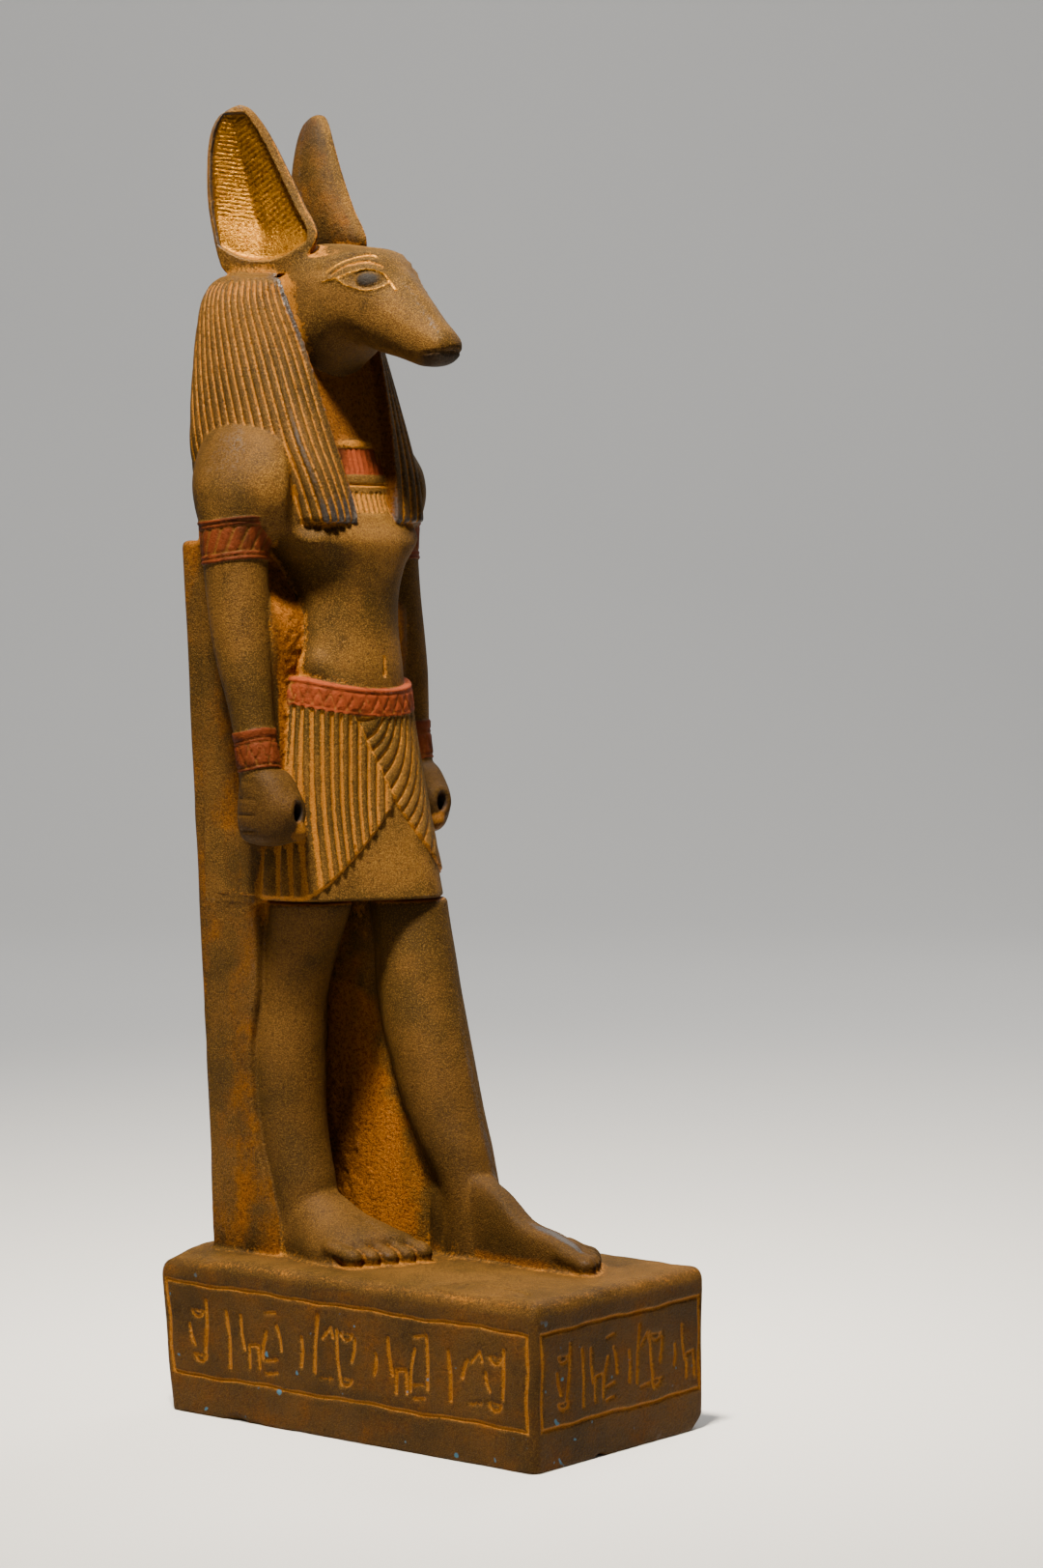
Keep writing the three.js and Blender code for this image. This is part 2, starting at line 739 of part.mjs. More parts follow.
// The wig's outline at a height, from the inner edge of the left lappet round to the middle of the back.
function wigOutline(z) {
  const corner = 5.5;
  const [half, back] = [MANE.half(z), MANE.back(z)];
  return new THREE.CatmullRomCurve3(
    [
      new THREE.Vector3(LAPPET.innerX(z), LAPPET.innerY(z), z),
      new THREE.Vector3(LAPPET.outerX(z), LAPPET.outerY(z), z),
      new THREE.Vector3(half - 0.6, MANE.front(z), z),
      new THREE.Vector3(half, back - corner * 1.5, z),
      new THREE.Vector3(half - corner * 0.3, back - corner * 0.3, z),
      new THREE.Vector3(half - corner * 1.5, back, z),
      new THREE.Vector3(0, back, z),
    ],
    false,
    "catmullrom",
    0.35,
  );
}

function wig() {
  const strandsPerHalf = 2 * WIG.strands;
  const columns = 2 * (strandsPerHalf + 2);
  const levels = [0, 10, 20, 33, 46, 53, 56, WIG.high - WIG.hem];
  const outlines = new Map();
  const outline = (z) => {
    const key = z.toFixed(3);
    if (!outlines.has(key)) outlines.set(key, wigOutline(z));
    return outlines.get(key);
  };
  return loft(columns, levels.length - 1, (t, turn, reach) => {
    const row = Math.round(t * (levels.length - 1));
    let z = WIG.hem + levels[row];
    if (!reach) return new THREE.Vector3(0, 42, z);
    const column = Math.round(turn * columns) % columns;
    const side = column <= columns / 2 ? 1 : -1;
    const step = side > 0 ? column : columns - column;
    const behind = LAPPET.innerY(z) + 3.4;
    if (step === 0) return new THREE.Vector3(0, behind + 1, z);
    if (step === 1) return new THREE.Vector3(side * (LAPPET.innerX(z) - 0.2), behind, z);
    const share = (step - 2) / strandsPerHalf;
    if (row === 0) z -= 6 * smooth((share - 0.45) / 0.3);
    const curve = outline(z);
    const point = curve.getPointAt(share);
    const way = curve.getTangentAt(share);
    const plain = share < 0.01 || row === levels.length - 1;
    const lift = plain ? 0 : step % 2 ? WIG.ridge : -WIG.groove;
    return new THREE.Vector3(side * (point.x + way.y * lift), point.y - way.x * lift, z);
  });
}

// Head and ears

function head() {
  return loft(16, 13, (t, turn, reach) => {
    const s = mix(-47, 5.6, t ** 0.8);
    const swing = 2 * Math.PI * turn;
    const middle = mix(HEAD.low(s), HEAD.high(s), 0.46);
    const above = Math.cos(swing) < 0;
    const tall = above ? HEAD.high(s) - middle : middle - HEAD.low(s);
    const slim = above ? 0.26 * THREE.MathUtils.smoothstep(s, -14, -8) : 0;
    return new THREE.Vector3(
      reach * HEAD.half(s) * power(Math.sin(swing), 0.85 + slim),
      -s,
      middle - reach * tall * power(Math.cos(swing), 0.8 + slim),
    );
  });
}

// A raised cord along a curve over the brow or the lid.
function ridge(points, radius) {
  const curve = new THREE.CatmullRomCurve3(points);
  const outline = new THREE.Shape().absarc(0, 0, radius, 0, 2 * Math.PI);
  return solid(new THREE.ExtrudeGeometry(outline, {
    extrudePath: curve, steps: 5, bevelEnabled: false, curveSegments: 2,
  }));
}

function eye(side) {
  const at = (x, y, z) => new THREE.Vector3(side * x, y, z);
  const brow = ridge(
    [at(10.8, 24, 262.4), at(9.4, 19.5, 264.1), at(7.9, 14.6, 264.5), at(6.6, 9.6, 262.7)], 0.8);
  const upperLid = ridge(
    [
      at(10.8, 25, 259.3), at(10.4, 19.4, 260.6), at(9.7, 14, 261.6),
      at(8.2, 9.6, 259.4), at(6.3, 6.2, 256.6),
    ],
    0.55,
  );
  const lowerLid = ridge([at(10.6, 19.6, 259.4), at(10, 14.4, 257.9), at(8.9, 10, 258)], 0.5);
  const eyeball = ball([side * 8.7, 13.8, 259.7], [1.5, 3.4, 1.6], 8, 6);
  return joined([brow, upperLid, lowerLid, eyeball]);
}

// A place on an ear: along its opening from front to rear, up, and out through the opening.
function earPoint(side, along, z, lift) {
  const [sin, cos] = [Math.sin(EAR.turn), Math.cos(EAR.turn)];
  const forward = (EAR_EDGE.rear(z) - along) / (EAR_EDGE.rear(z) - EAR_EDGE.front(z));
  const out = lift + EAR_EDGE.bend(z) * forward;
  return new THREE.Vector3(
    side * (EAR.tipX + along * cos + out * sin),
    EAR.tipY + along * sin - out * cos,
    z,
  );
}

function earShell(side) {
  const levels = [0, 0.035, 0.11, 0.24, 0.42, 0.62, 0.82, 0.94, 1];
  return loft(12, levels.length - 1, (t, turn, reach) => {
    const z = mix(EAR.low, HEIGHT, levels[Math.round(t * (levels.length - 1))]);
    const middle = (EAR_EDGE.front(z) + EAR_EDGE.rear(z)) / 2;
    const half = (EAR_EDGE.rear(z) - EAR_EDGE.front(z)) / 2;
    const swing = 2 * Math.PI * turn;
    const out = Math.cos(swing) > 0 ? 0.7 : EAR_EDGE.deep(z);
    const along = middle + side * reach * half * power(Math.sin(swing), 0.9);
    return earPoint(side, along, z, reach * out * power(Math.cos(swing), 0.7));
  });
}

// The hollow of an ear: a dish whose two halves meet in a fold, ribbed across above its lower third.
function earHollow(side) {
  const rows = 2 * EAR.ribs + 3;
  return plate(4, rows, (u, v, w) => {
    const z = mix(EAR.low + 2.6, HEIGHT - 2.2, v);
    const front = EAR_EDGE.front(z) + EAR.rim;
    const rear = EAR_EDGE.rear(z) - EAR.rim * 0.6;
    const narrow = Math.min(1, 3.2 * Math.sqrt(v * (1 - v)) + 0.1);
    const middle = (front + rear) / 2;
    const along = middle + (u - 0.5) * Math.max(0.8, rear - front) * narrow * (side > 0 ? 1 : -1);
    const fold = 1 - Math.abs(2 * u - 1);
    const rib = v > 0.26 && v < 0.97 && Math.round(v * rows) % 2 ? 0.4 : 0;
    const deep = EAR_EDGE.deep(z) * 0.62 * Math.min(1, 0.25 + fold * 1.1) * Math.min(1, 6 * v, 7 * (1 - v));
    return earPoint(side, along, z, w > 0.5 ? 3 : -Math.max(0.1, deep - rib));
  });
}

function ear(side) {
  return earShell(side).subtract(earHollow(side));
}

// The whole piece

function figure() {
  const body = joined([kiltBody(), rightWing(), leftWing(), beltBand(), torso(), ...shoulders()]);
  const legs = joined([
    limb(RIGHT_LEG, LEG_ENDS.low, LEG_ENDS.high, 12, 8),
    limb(LEFT_LEG, LEG_ENDS.low, LEG_ENDS.high, 12, 8),
    footSolid(RIGHT_FOOT),
    footSolid(LEFT_FOOT),
    legWall(),
  ]);
  const top = joined([wig(), collar(), head(), ...SIDES.map(ear), ...SIDES.map(eye)]);
  return joined([cutBy(body, navel()), legs, rightWall(), armWall(), ...SIDES.map(arm), top]);
}

// A closed skin as points and faces, with the faces met at each point kept at hand.
class Skin {
  constructor({ vertProperties, triVerts, numProp }) {
    this.points = [];
    for (let i = 0; i < vertProperties.length; i += numProp) {
      this.points.push(new THREE.Vector3().fromArray(vertProperties, i));
    }
    this.faces = [];
    for (let i = 0; i < triVerts.length; i += 3) this.faces.push([...triVerts.subarray(i, i + 3)]);
    this.around = this.points.map(() => new Set());
    this.faces.forEach((face, k) => face.forEach((v) => this.around[v].add(k)));
  }

  neighbours(v) {
    return new Set([...this.around[v]].flatMap((k) => this.faces[k]).filter((w) => w !== v));
  }

  shared(a, b) {
    return [...this.around[a]].filter((k) => this.around[b].has(k));
  }

  replace(k, face) {
    if (this.faces[k]) this.faces[k].forEach((v) => this.around[v].delete(k));
    this.faces[k] = face;
    if (face) face.forEach((v) => this.around[v].add(k));
  }

  length(a, b) {
    return this.points[a].distanceTo(this.points[b]);
  }

  // Draws point b onto point a where that leaves the skin closed.
  merge(a, b) {
    const near = this.neighbours(b);
    const common = [...this.neighbours(a)].filter((v) => near.has(v));
    const lost = this.shared(a, b);
    if (lost.length !== 2 || common.length !== 2) return false;
    lost.forEach((k) => this.replace(k, null));
    [...this.around[b]].forEach((k) => this.replace(k, this.faces[k].map((v) => (v === b ? a : v))));
    return true;
  }

  // Turns the long edge of a thin face, so that its middle point joins the far corner instead.
  turn(k) {
    const face = this.faces[k];
    const long = [0, 1, 2].reduce((i, j) =>
      this.length(face[j], face[(j + 1) % 3]) > this.length(face[i], face[(i + 1) % 3]) ? j : i);
    const [a, b, c] = [0, 1, 2].map((i) => face[(long + i) % 3]);
    const other = this.shared(a, b).find((j) => j !== k);
    const d = this.faces[other].find((v) => v !== a && v !== b);
    if (this.neighbours(c).has(d)) return false;
    this.replace(k, [a, d, c]);
    this.replace(other, [d, b, c]);
    return true;
  }

  thinness(face) {
    const [a, b, c] = face.map((v) => this.points[v]);
    const long = Math.max(a.distanceTo(b), b.distanceTo(c), c.distanceTo(a));
    return new THREE.Triangle(a, b, c).getArea() * 2 / long;
  }

  tidy(shortest, thinnest) {
    for (let pass = 0; pass < 4; pass += 1) {
      for (let k = 0; k < this.faces.length; k += 1) {
        for (let i = 0; i < 3; i += 1) {
          const face = this.faces[k];
          if (!face) break;
          const [a, b] = [face[i], face[(i + 1) % 3]];
          if (this.length(a, b) < shortest) this.merge(a, b);
        }
        if (this.faces[k] && this.thinness(this.faces[k]) < thinnest) this.turn(k);
      }
    }
    return this;
  }

  geometry() {
    const bare = new THREE.BufferGeometry();
    const places = this.points.flatMap((p) => p.toArray());
    bare.setAttribute("position", new THREE.Float32BufferAttribute(places, 3));
    bare.setIndex(this.faces.filter((face) => face).flat());
    return mergeVertices(bare.toNonIndexed(), 1e-4);
  }
}

function statueMesh() {
  const base = cutBy(plinth(), [...frameLines(), ...strokes()]);
  const whole = joined([base, slab(), figure()]);
  const geometry = new Skin(whole.getMesh()).tidy(SKIN.shortest, SKIN.thinnest).geometry();
  geometry.computeVertexNormals();
  const stone = new THREE.MeshStandardMaterial({ color: 0x5e4626, roughness: 0.82, metalness: 0.05 });
  const mesh = new THREE.Mesh(geometry, stone);
  mesh.name = "statue";
  return mesh;
}

const part = new THREE.Group();
part.add(statueMesh());

export default part;
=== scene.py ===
"""Visual model of a striding jackal-headed statuette, carved in one piece with its slab and plinth.

Each form of the stone is a distance in millimetres, negative inside. The forms are joined with soft
fillets, their surfaces are lifted or cut for the carving, and the whole is skinned once as one mesh.
The frame is the part's own: +Z up, the figure faces -Y and its right side is -X.
"""

import logging
import math
from collections.abc import Callable, Iterable, Sequence
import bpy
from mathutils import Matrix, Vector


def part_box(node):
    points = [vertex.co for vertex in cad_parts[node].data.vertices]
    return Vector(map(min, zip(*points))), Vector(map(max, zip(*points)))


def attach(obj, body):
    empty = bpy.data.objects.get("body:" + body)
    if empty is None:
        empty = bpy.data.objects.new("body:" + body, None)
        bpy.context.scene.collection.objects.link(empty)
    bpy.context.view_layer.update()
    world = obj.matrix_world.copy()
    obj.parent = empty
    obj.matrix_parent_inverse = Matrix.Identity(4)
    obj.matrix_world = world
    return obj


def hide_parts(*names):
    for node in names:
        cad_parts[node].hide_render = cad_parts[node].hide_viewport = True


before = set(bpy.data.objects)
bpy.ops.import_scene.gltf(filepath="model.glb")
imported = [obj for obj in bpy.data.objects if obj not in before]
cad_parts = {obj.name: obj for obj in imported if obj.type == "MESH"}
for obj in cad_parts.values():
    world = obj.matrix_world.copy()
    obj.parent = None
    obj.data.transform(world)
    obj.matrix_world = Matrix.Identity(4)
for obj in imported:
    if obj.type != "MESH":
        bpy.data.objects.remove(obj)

from concurrent.futures import ThreadPoolExecutor
from dataclasses import dataclass, field
from enum import Enum
from types import SimpleNamespace

import bpy
import numpy as np
from mathutils import Matrix, Vector

Array = np.ndarray
Point = tuple[float, float, float]

MM = 0.001
FAR = 30.0  # the distance given where no form is near
REACH = 4.0  # how far outside its box a form still counts
PLINTH_TOP = 37.2
LEAN = math.tan(math.radians(2.18))  # the body and its slab lean back from the plinth
HEM = 118.5
THREADS = 4
CORNERS = np.array([(i, j, k) for i in (0, 1) for j in (0, 1) for k in (0, 1)])  # of a cube

log = logging.getLogger("statuette")


class Mark(Enum):
    """What a place on the stone carries besides the plain patina; some marks paint shade or a highlight into
    its colour.
    """

    RED = "red"
    GILT = "gilt"
    ROUGH = "rough"
    # dark paint of the eyes and ear tips, and painted shade on the muzzle's front and in the grip holes
    DARK = "dark"
    RECESS = "recess"
    # painted shade in hollows and creases, which also brings some dust there
    HOLLOW = "hollow"
    # dark rubbed wear, which becomes a painted highlight where it is strongest
    RUB = "rub"
    CLEAN = "clean"
    # darker: painted shade on the plinth's and slab's sides, the legs, feet and lower head, and a darker
    # patina on the wig, arms and hips
    DIM = "shade_and_patina"


# Numbers and curves


def soft_min(a: Array, b: Array, reach: float) -> Array:
    """Joins two distances with a fillet.

    Args:
        a: The first distance.
        b: The second distance.
        reach: How far apart the two may be and still blend.

    Returns:
        The joined distance.
    """
    if np.ndim(reach) == 0 and reach <= 0:
        return np.minimum(a, b)
    gap = np.maximum(reach - np.abs(a - b), 0.0)
    return np.minimum(a, b) - gap * gap * (0.25 / reach)


def soft_max(a: Array, b: Array, reach: float) -> Array:
    """Cuts one distance by another, with a rounded edge."""
    return -soft_min(-a, -b, reach)


def ease(t: Array) -> Array:
    """A smooth step from 0 to 1."""
    t = np.clip(t, 0.0, 1.0)
    return t * t * (3.0 - 2.0 * t)


def mix(a: Array, b: Array, t: Array) -> Array:
    """The value that lies t of the way from a to b."""
    return a + (b - a) * t


def line(distance: Array, width: float) -> Array:
    """A soft line, 1 at its middle, that fades over its width."""
    return np.exp(-((distance / width) ** 2))


def between(z: Array, low: float, high: float) -> Array:
    """1 between two heights, with soft ends."""
    return ease((z - low) / 0.3 + 0.5) * ease((high - z) / 0.3 + 0.5)


def oval(dx: Array, dy: Array, a: Array, b: Array) -> Array:
    """Distance from an ellipse.

    Args:
        dx: Offset from its centre along the first axis.
        dy: Offset along the second axis.
        a: Its half width along the first axis.
        b: Its half width along the second axis.

    Returns:
        The distance, negative inside.
    """
    u, v = dx / a, dy / b
    reach = np.sqrt(u * u + v * v) + 1e-6
    slope = np.sqrt((u / a) ** 2 + (v / b) ** 2) + 1e-6
    return reach * (reach - 1.0) / slope


def squircle(dx: Array, dy: Array, a: Array, b: Array, power: Array) -> Array:
    """Distance from an ellipse with square shoulders, a larger power for squarer ones.

    Args:
        dx: Offset from its centre along the first axis.
        dy: Offset along the second axis.
        a: Its half width along the first axis.
        b: Its half width along the second axis.
        power: 2 for an ellipse, more for squarer shoulders.

    Returns:
        The distance, negative inside.
    """
    u, v = np.abs(dx) / a + 1e-5, np.abs(dy) / b + 1e-5
    up, vp = u ** (power - 1.0), v ** (power - 1.0)
    reach = (up * u + vp * v) ** (1.0 / power)
    slope = np.sqrt((up / a) ** 2 + (vp / b) ** 2) / reach ** (power - 1.0)
    return (reach - 1.0) / slope


def rounded(over_x: Array, over_y: Array, corner: float) -> Array:
    """Distance from a rectangle with round corners, from how far past its flat sides a place lies."""
    outside = np.hypot(np.maximum(over_x + corner, 0), np.maximum(over_y + corner, 0))
    return outside + np.minimum(np.maximum(over_x, over_y) + corner, 0) - corner


def bar(cloud: "Cloud", start: Sequence[float], stop: Sequence[float]) -> tuple[Array, Array]:
    """Distance from a straight line between two places.

    Args:
        cloud: The points.
        start: One end of the line.
        stop: Its other end.

    Returns:
        The distance of each point, and the share of the way along the line.
    """
    way = np.subtract(stop, start)
    gap = [at - first for at, first in zip((cloud.x, cloud.y, cloud.z), start)]
    t = np.clip(sum(g * w for g, w in zip(gap, way)) / float(way @ way), 0, 1)
    return np.sqrt(sum((g - t * w) ** 2 for g, w in zip(gap, way))), t


def scaled(cloud: "Cloud", side: int, centre: Point, radii: Point) -> list[Array]:
    """The points' offsets from a centre on one side of the body, as shares of three radii."""
    return [(at - middle) / r for at, middle, r in zip((side * cloud.x, cloud.y, cloud.z), centre, radii)]


def span(side: int, near: float, far: float) -> list[float]:
    """The lowest and highest x of a form on one side of the body."""
    return sorted((side * near, side * far))


def ripple(cloud: "Cloud", size: float, seed: int) -> Array:
    """An uneven wave through space, about -1 to 1, for hand-cut and worn surfaces.

    Args:
        cloud: Where to read it.
        size: The length of one wave.
        seed: Which of many such waves.

    Returns:
        The height of the wave.
    """
    rng = np.random.default_rng(seed)
    total = np.zeros_like(cloud.x)
    for turn in range(4):
        way = rng.normal(size=3)
        way *= 2.0 * math.pi / (size * (1.0 + 0.23 * turn)) / np.linalg.norm(way)
        bend = total * 0.7 if turn else 0.0
        shift = rng.uniform(0, 6.3)
        total = total + np.sin(cloud.x * way[0] + cloud.y * way[1] + cloud.z * way[2] + shift + bend)
    return total * 0.33


def streaks(cloud: "Cloud") -> Array:
    """Upright streaks on the sides of the slab, as shares of stain."""
    return 0.44 + 0.16 * ripple(Cloud(cloud.x, cloud.y, cloud.z * 0.12), 5, 31)


class Table:
    """Measured sections, read as smooth curves of their first column."""

    PITCH = 0.1

    def __init__(self, names: str, rows: Sequence[Sequence[float]]) -> None:
        """Makes the dense curves.

        Args:
            names: The columns, the first of which is the place.
            rows: One row for each section, lowest place first.
        """
        data = np.array(rows, float)
        keys = data[:, 0]
        self.start = keys[0]
        places = np.arange(keys[0], keys[-1] + self.PITCH, self.PITCH)
        row = np.clip(np.searchsorted(keys, places, "right") - 1, 0, len(keys) - 2)
        gap = keys[row + 1] - keys[row]
        t = np.clip((places - keys[row]) / gap, 0, 1)
        self.last = len(places) - 1.001
        self.columns: dict[str, Array] = {}
        for name, values in zip(names.split()[1:], data.T[1:]):
            slopes = np.empty_like(values)
            slopes[1:-1] = (values[2:] - values[:-2]) / (keys[2:] - keys[:-2])
            slopes[0] = (values[1] - values[0]) / (keys[1] - keys[0])
            slopes[-1] = (values[-1] - values[-2]) / (keys[-1] - keys[-2])
            low, high = values[row], values[row + 1]
            curve = (
                low * (1 + 2 * t) * (1 - t) ** 2
                + high * t * t * (3 - 2 * t)
                + gap * (slopes[row] * t * (1 - t) ** 2 - slopes[row + 1] * t * t * (1 - t))
            )
            self.columns[name] = curve.astype(np.float32)

    def read(self, place: Array) -> SimpleNamespace:
        """Every column at each place, with the end rows held beyond the ends.

        Args:
            place: Values of the first column.

        Returns:
            The columns under their names.
        """
        t = np.clip((place - self.start) / self.PITCH, 0, self.last)
        i = t.astype(np.int32)
        share = (t - i).astype(np.float32)
        return SimpleNamespace(**{n: c[i] + (c[i + 1] - c[i]) * share for n, c in self.columns.items()})


class Sheet:
    """A drawing laid on a surface: values on a fine grid of two coordinates."""

    def __init__(self, low: tuple[float, float], high: tuple[float, float], pitch: float) -> None:
        """Lays out the grid.

        Args:
            low: The lowest pair of coordinates.
            high: The highest pair.
            pitch: The step between grid lines.
        """
        self.low, self.pitch = low, pitch
        across = np.arange(low[0], high[0] + pitch, pitch, dtype=np.float32)
        up = np.arange(low[1], high[1] + pitch, pitch, dtype=np.float32)
        self.u, self.v = np.meshgrid(across, up, indexing="ij")
        self.layers: dict[str, Array] = {}

    def put(self, name: str, values: Array) -> None:
        """Keeps one layer of the drawing."""
        self.layers[name] = np.ascontiguousarray(np.broadcast_to(values, self.u.shape), np.float32).ravel()

    def along(self, points: Sequence[tuple[float, float]]) -> Array:
        """Distance of every grid place from a line through points.

        Args:
            points: The places that the line joins.

        Returns:
            The distances.
        """
        best = np.full(self.u.shape, FAR, np.float32)
        for (u0, v0), (u1, v1) in zip(points, points[1:]):
            du, dv = u1 - u0, v1 - v0
            t = np.clip(((self.u - u0) * du + (self.v - v0) * dv) / (du * du + dv * dv), 0, 1)
            best = np.minimum(best, np.hypot(self.u - u0 - t * du, self.v - v0 - t * dv))
        return best

    def read(self, u: Array, v: Array, *names: str) -> list[Array]:
        """The layers of these names at each pair of coordinates.

        Args:
            u: The first coordinates.
            v: The second coordinates.
            *names: Which layers.

        Returns:
            The values of each layer.
        """
        rows, columns = self.u.shape
        a = np.clip((u - self.low[0]) / self.pitch, 0, rows - 1.01)
        b = np.clip((v - self.low[1]) / self.pitch, 0, columns - 1.01)
        i, j = a.astype(np.int32), b.astype(np.int32)
        a, b = (a - i).astype(np.float32), (b - j).astype(np.float32)
        at = i * columns + j
        found = []
        for name in names:
            grid = self.layers[name]
            near = grid[at] * (1 - b) + grid[at + 1] * b
            found.append(near * (1 - a) + (grid[at + columns] * (1 - b) + grid[at + columns + 1] * b) * a)
        return found


def smooth_line(points: Sequence[tuple[float, float]], steps: int = 6) -> list[tuple[float, float]]:
    """A rounder line through points, as more points.

    Args:
        points: The places that the line passes.
        steps: How many pieces lie between two of them.

    Returns:
        The points of the rounder line.
    """
    p = np.array([points[0], *points, points[-1]], float)
    made = []
    for a, b, c, d in zip(p, p[1:], p[2:], p[3:]):
        for t in np.arange(steps) / steps:
            made.append(tuple(0.5 * (2 * b + (c - a) * t + (2 * a - 5 * b + 4 * c - d) * t**2
                                     + (3 * b - a - 3 * c + d) * t**3)))
    return [*made, tuple(p[-1])]


class Cloud:
    """A batch of points and the corners of the box round them."""

    def __init__(self, x: Array, y: Array, z: Array) -> None:
        """Keeps the points as three arrays of the same length.

        Args:
            x: Their x.
            y: Their y.
            z: Their z.
        """
        self.x, self.y, self.z = (np.asarray(a, np.float32) for a in (x, y, z))
        self.low = tuple(float(a.min()) for a in (self.x, self.y, self.z))
        self.high = tuple(float(a.max()) for a in (self.x, self.y, self.z))


class Form:
    """One form of the stone, joined or cut away: its box, its distance and what its surface carries."""

    low: Point
    high: Point
    fillet = 1.5
    removes = False

    def near(self, cloud: Cloud) -> bool:
        """Whether any of the points can lie near this form."""
        spans = zip(self.low, self.high, cloud.low, cloud.high)
        return all(low - REACH < last and first < high + REACH for low, high, first, last in spans)

    def distance(self, cloud: Cloud) -> Array:
        """Distance of each point from the form, negative inside."""
        raise NotImplementedError

    def marks(self, cloud: Cloud) -> dict[Mark, Array]:
        """What the form's surface carries at each point, each mark from 0 to 1."""
        return {}


# Plinth, slab and walls


@dataclass
class Plinth(Form):
    """The block underfoot, with worn edges, a cut frame and rows of plain strokes on its faces."""

    low: Point = (-31.4, -54.0, 0.0)
    high: Point = (31.4, 58.4, 37.3)
    width: float = 62.6
    length: float = 107.9
    corner: float = 2.4
    edge: float = 3.9
    flare_top: float = 4.4
    flare_foot: float = 0.2
    frame_low: float = 9.2
    frame_high: float = 30.2
    frame_margin: float = 2.6
    line_wide: float = 0.5
    line_deep: float = 0.55
    groups: tuple[int, int] = (9, 6)
    ring: tuple[float, float] = (-25.0, -33.0)
    chips: tuple[tuple[float, ...], ...] = (
        (-32.4, 33, -0.6, 2.6), (-32.2, 27.5, -0.8, 2.0), (-32.0, 14, -1, 1.9), (-8, -55.2, -0.8, 2))
    fillet: float = 0.0

    def __post_init__(self) -> None:
        """Draws the faces once."""
        half = self.length / 2 + 3
        self.faces = [Sheet((-half, 0.0), (half, PLINTH_TOP), 0.15) for _ in range(2)]
        for sheet, full, count in zip(self.faces, (self.length, self.width), self.groups):
            self.draw(sheet, full / 2, count)

    def draw(self, sheet: Sheet, half: float, count: int) -> None:
        """Draws one face.

        Args:
            sheet: The drawing, along the face and up it.
            half: Half the length of the face.
            count: How many groups of strokes stand on it.
        """
        sway = 0.22 * np.sin(0.21 * sheet.u + half) + 0.12 * np.sin(0.62 * sheet.u)
        middle, tall = (self.frame_low + self.frame_high) / 2, (self.frame_high - self.frame_low) / 2
        end = half - self.frame_margin
        past_end = np.abs(sheet.u + 0.2 * np.sin(sheet.v * 0.5)) - end
        box = np.maximum(past_end, np.abs(sheet.v + sway - middle) - tall)
        sheet.put("frame", self.line_deep * line(np.abs(box), self.line_wide))
        depth = np.zeros_like(sheet.u)
        for points, share in self.strokes(half, count):
            depth = np.maximum(depth, share * self.line_deep * line(sheet.along(points), self.line_wide))
        sheet.put("strokes", depth)

    def strokes(self, half: float, count: int) -> Iterable[tuple[list[tuple[float, float]], float]]:
        """The rows of plain strokes where the writing was: two upright ones in each group, and small cuts.

        Args:
            half: Half the length of the face.
            count: How many groups stand on it.

        Returns:
            The points of each stroke, and its share of the full depth.
        """
        pitch = 2 * (half - 6) / count
        for i in range(count):
            middle = -half + 6 + pitch * (i + 0.5)
            for side in (-1, 1):
                tall = 4.2 + 2.2 * math.sin(2.3 * i + side)
                slant = 0.7 * math.sin(1.7 * i + 2 * side)
                centre = 19.6 + 1.1 * side
                along = middle + side * pitch * 0.2
                bow = 0.4 * math.sin(3.1 * i + side)
                ends = (along - slant, centre - tall), (along + slant, centre + tall)
                yield [ends[0], (along + bow, centre), ends[1]], 1.0
            at = middle + pitch * (0.5 if i % 2 else 0.0)
            if i % 4 == 0:
                for up in (14.0, 24.2):
                    turns = np.linspace(math.pi, 2 * math.pi, 7)
                    yield [(at + 1.7 * math.cos(a), up + 1.5 * math.sin(a)) for a in turns], 0.9
                    yield [(at - 1.9, up + 0.1), (at + 1.9, up - 0.1)], 0.7
            elif i % 4 == 1:
                yield [(at - 1.5, 12.8), (at - 1.3, 18.0), (at + 1.4, 18.3), (at + 1.5, 13.0)], 0.9
            elif i % 4 == 2:
                for up in (12.4, 15.4, 26.2):
                    yield [(at - 1.6, up - 0.2), (at + 1.4, up + 0.3)], 0.8
            else:
                yield [(at - 1.4, 22.4), (at + 0.9, 25.0), (at + 1.5, 22.8)], 0.9
                yield [(at - 1.7, 13.2), (at + 1.5, 13.6)], 0.7

    def shifted(self, cloud: Cloud) -> Array:
        """The points' y with the leaning back corner straightened."""
        share = ease(0.5 - cloud.x / self.width) * np.clip(cloud.y * 2 / self.length, 0, 1)
        return cloud.y - share * mix(self.flare_foot, self.flare_top, np.clip(cloud.z / PLINTH_TOP, 0, 1))

    def carving(self, cloud: Cloud, y: Array) -> tuple[Array, Array]:
        """Depth of the cut frame and of the strokes at each point.

        Args:
            cloud: The points.
            y: Their y with the corner straightened.

        Returns:
            The two depths.
        """
        over_x, over_y = np.abs(cloud.x) - self.width / 2, np.abs(y) - self.length / 2
        on_side = over_x > over_y
        frame_side, strokes_side = self.faces[0].read(-y, cloud.z, "frame", "strokes")
        frame_front, strokes_front = self.faces[1].read(cloud.x, cloud.z, "frame", "strokes")
        strokes = np.where(on_side, np.where(cloud.x < 0, strokes_side, 0), np.where(y < 0, strokes_front, 0))
        return np.where(on_side, frame_side, frame_front), strokes

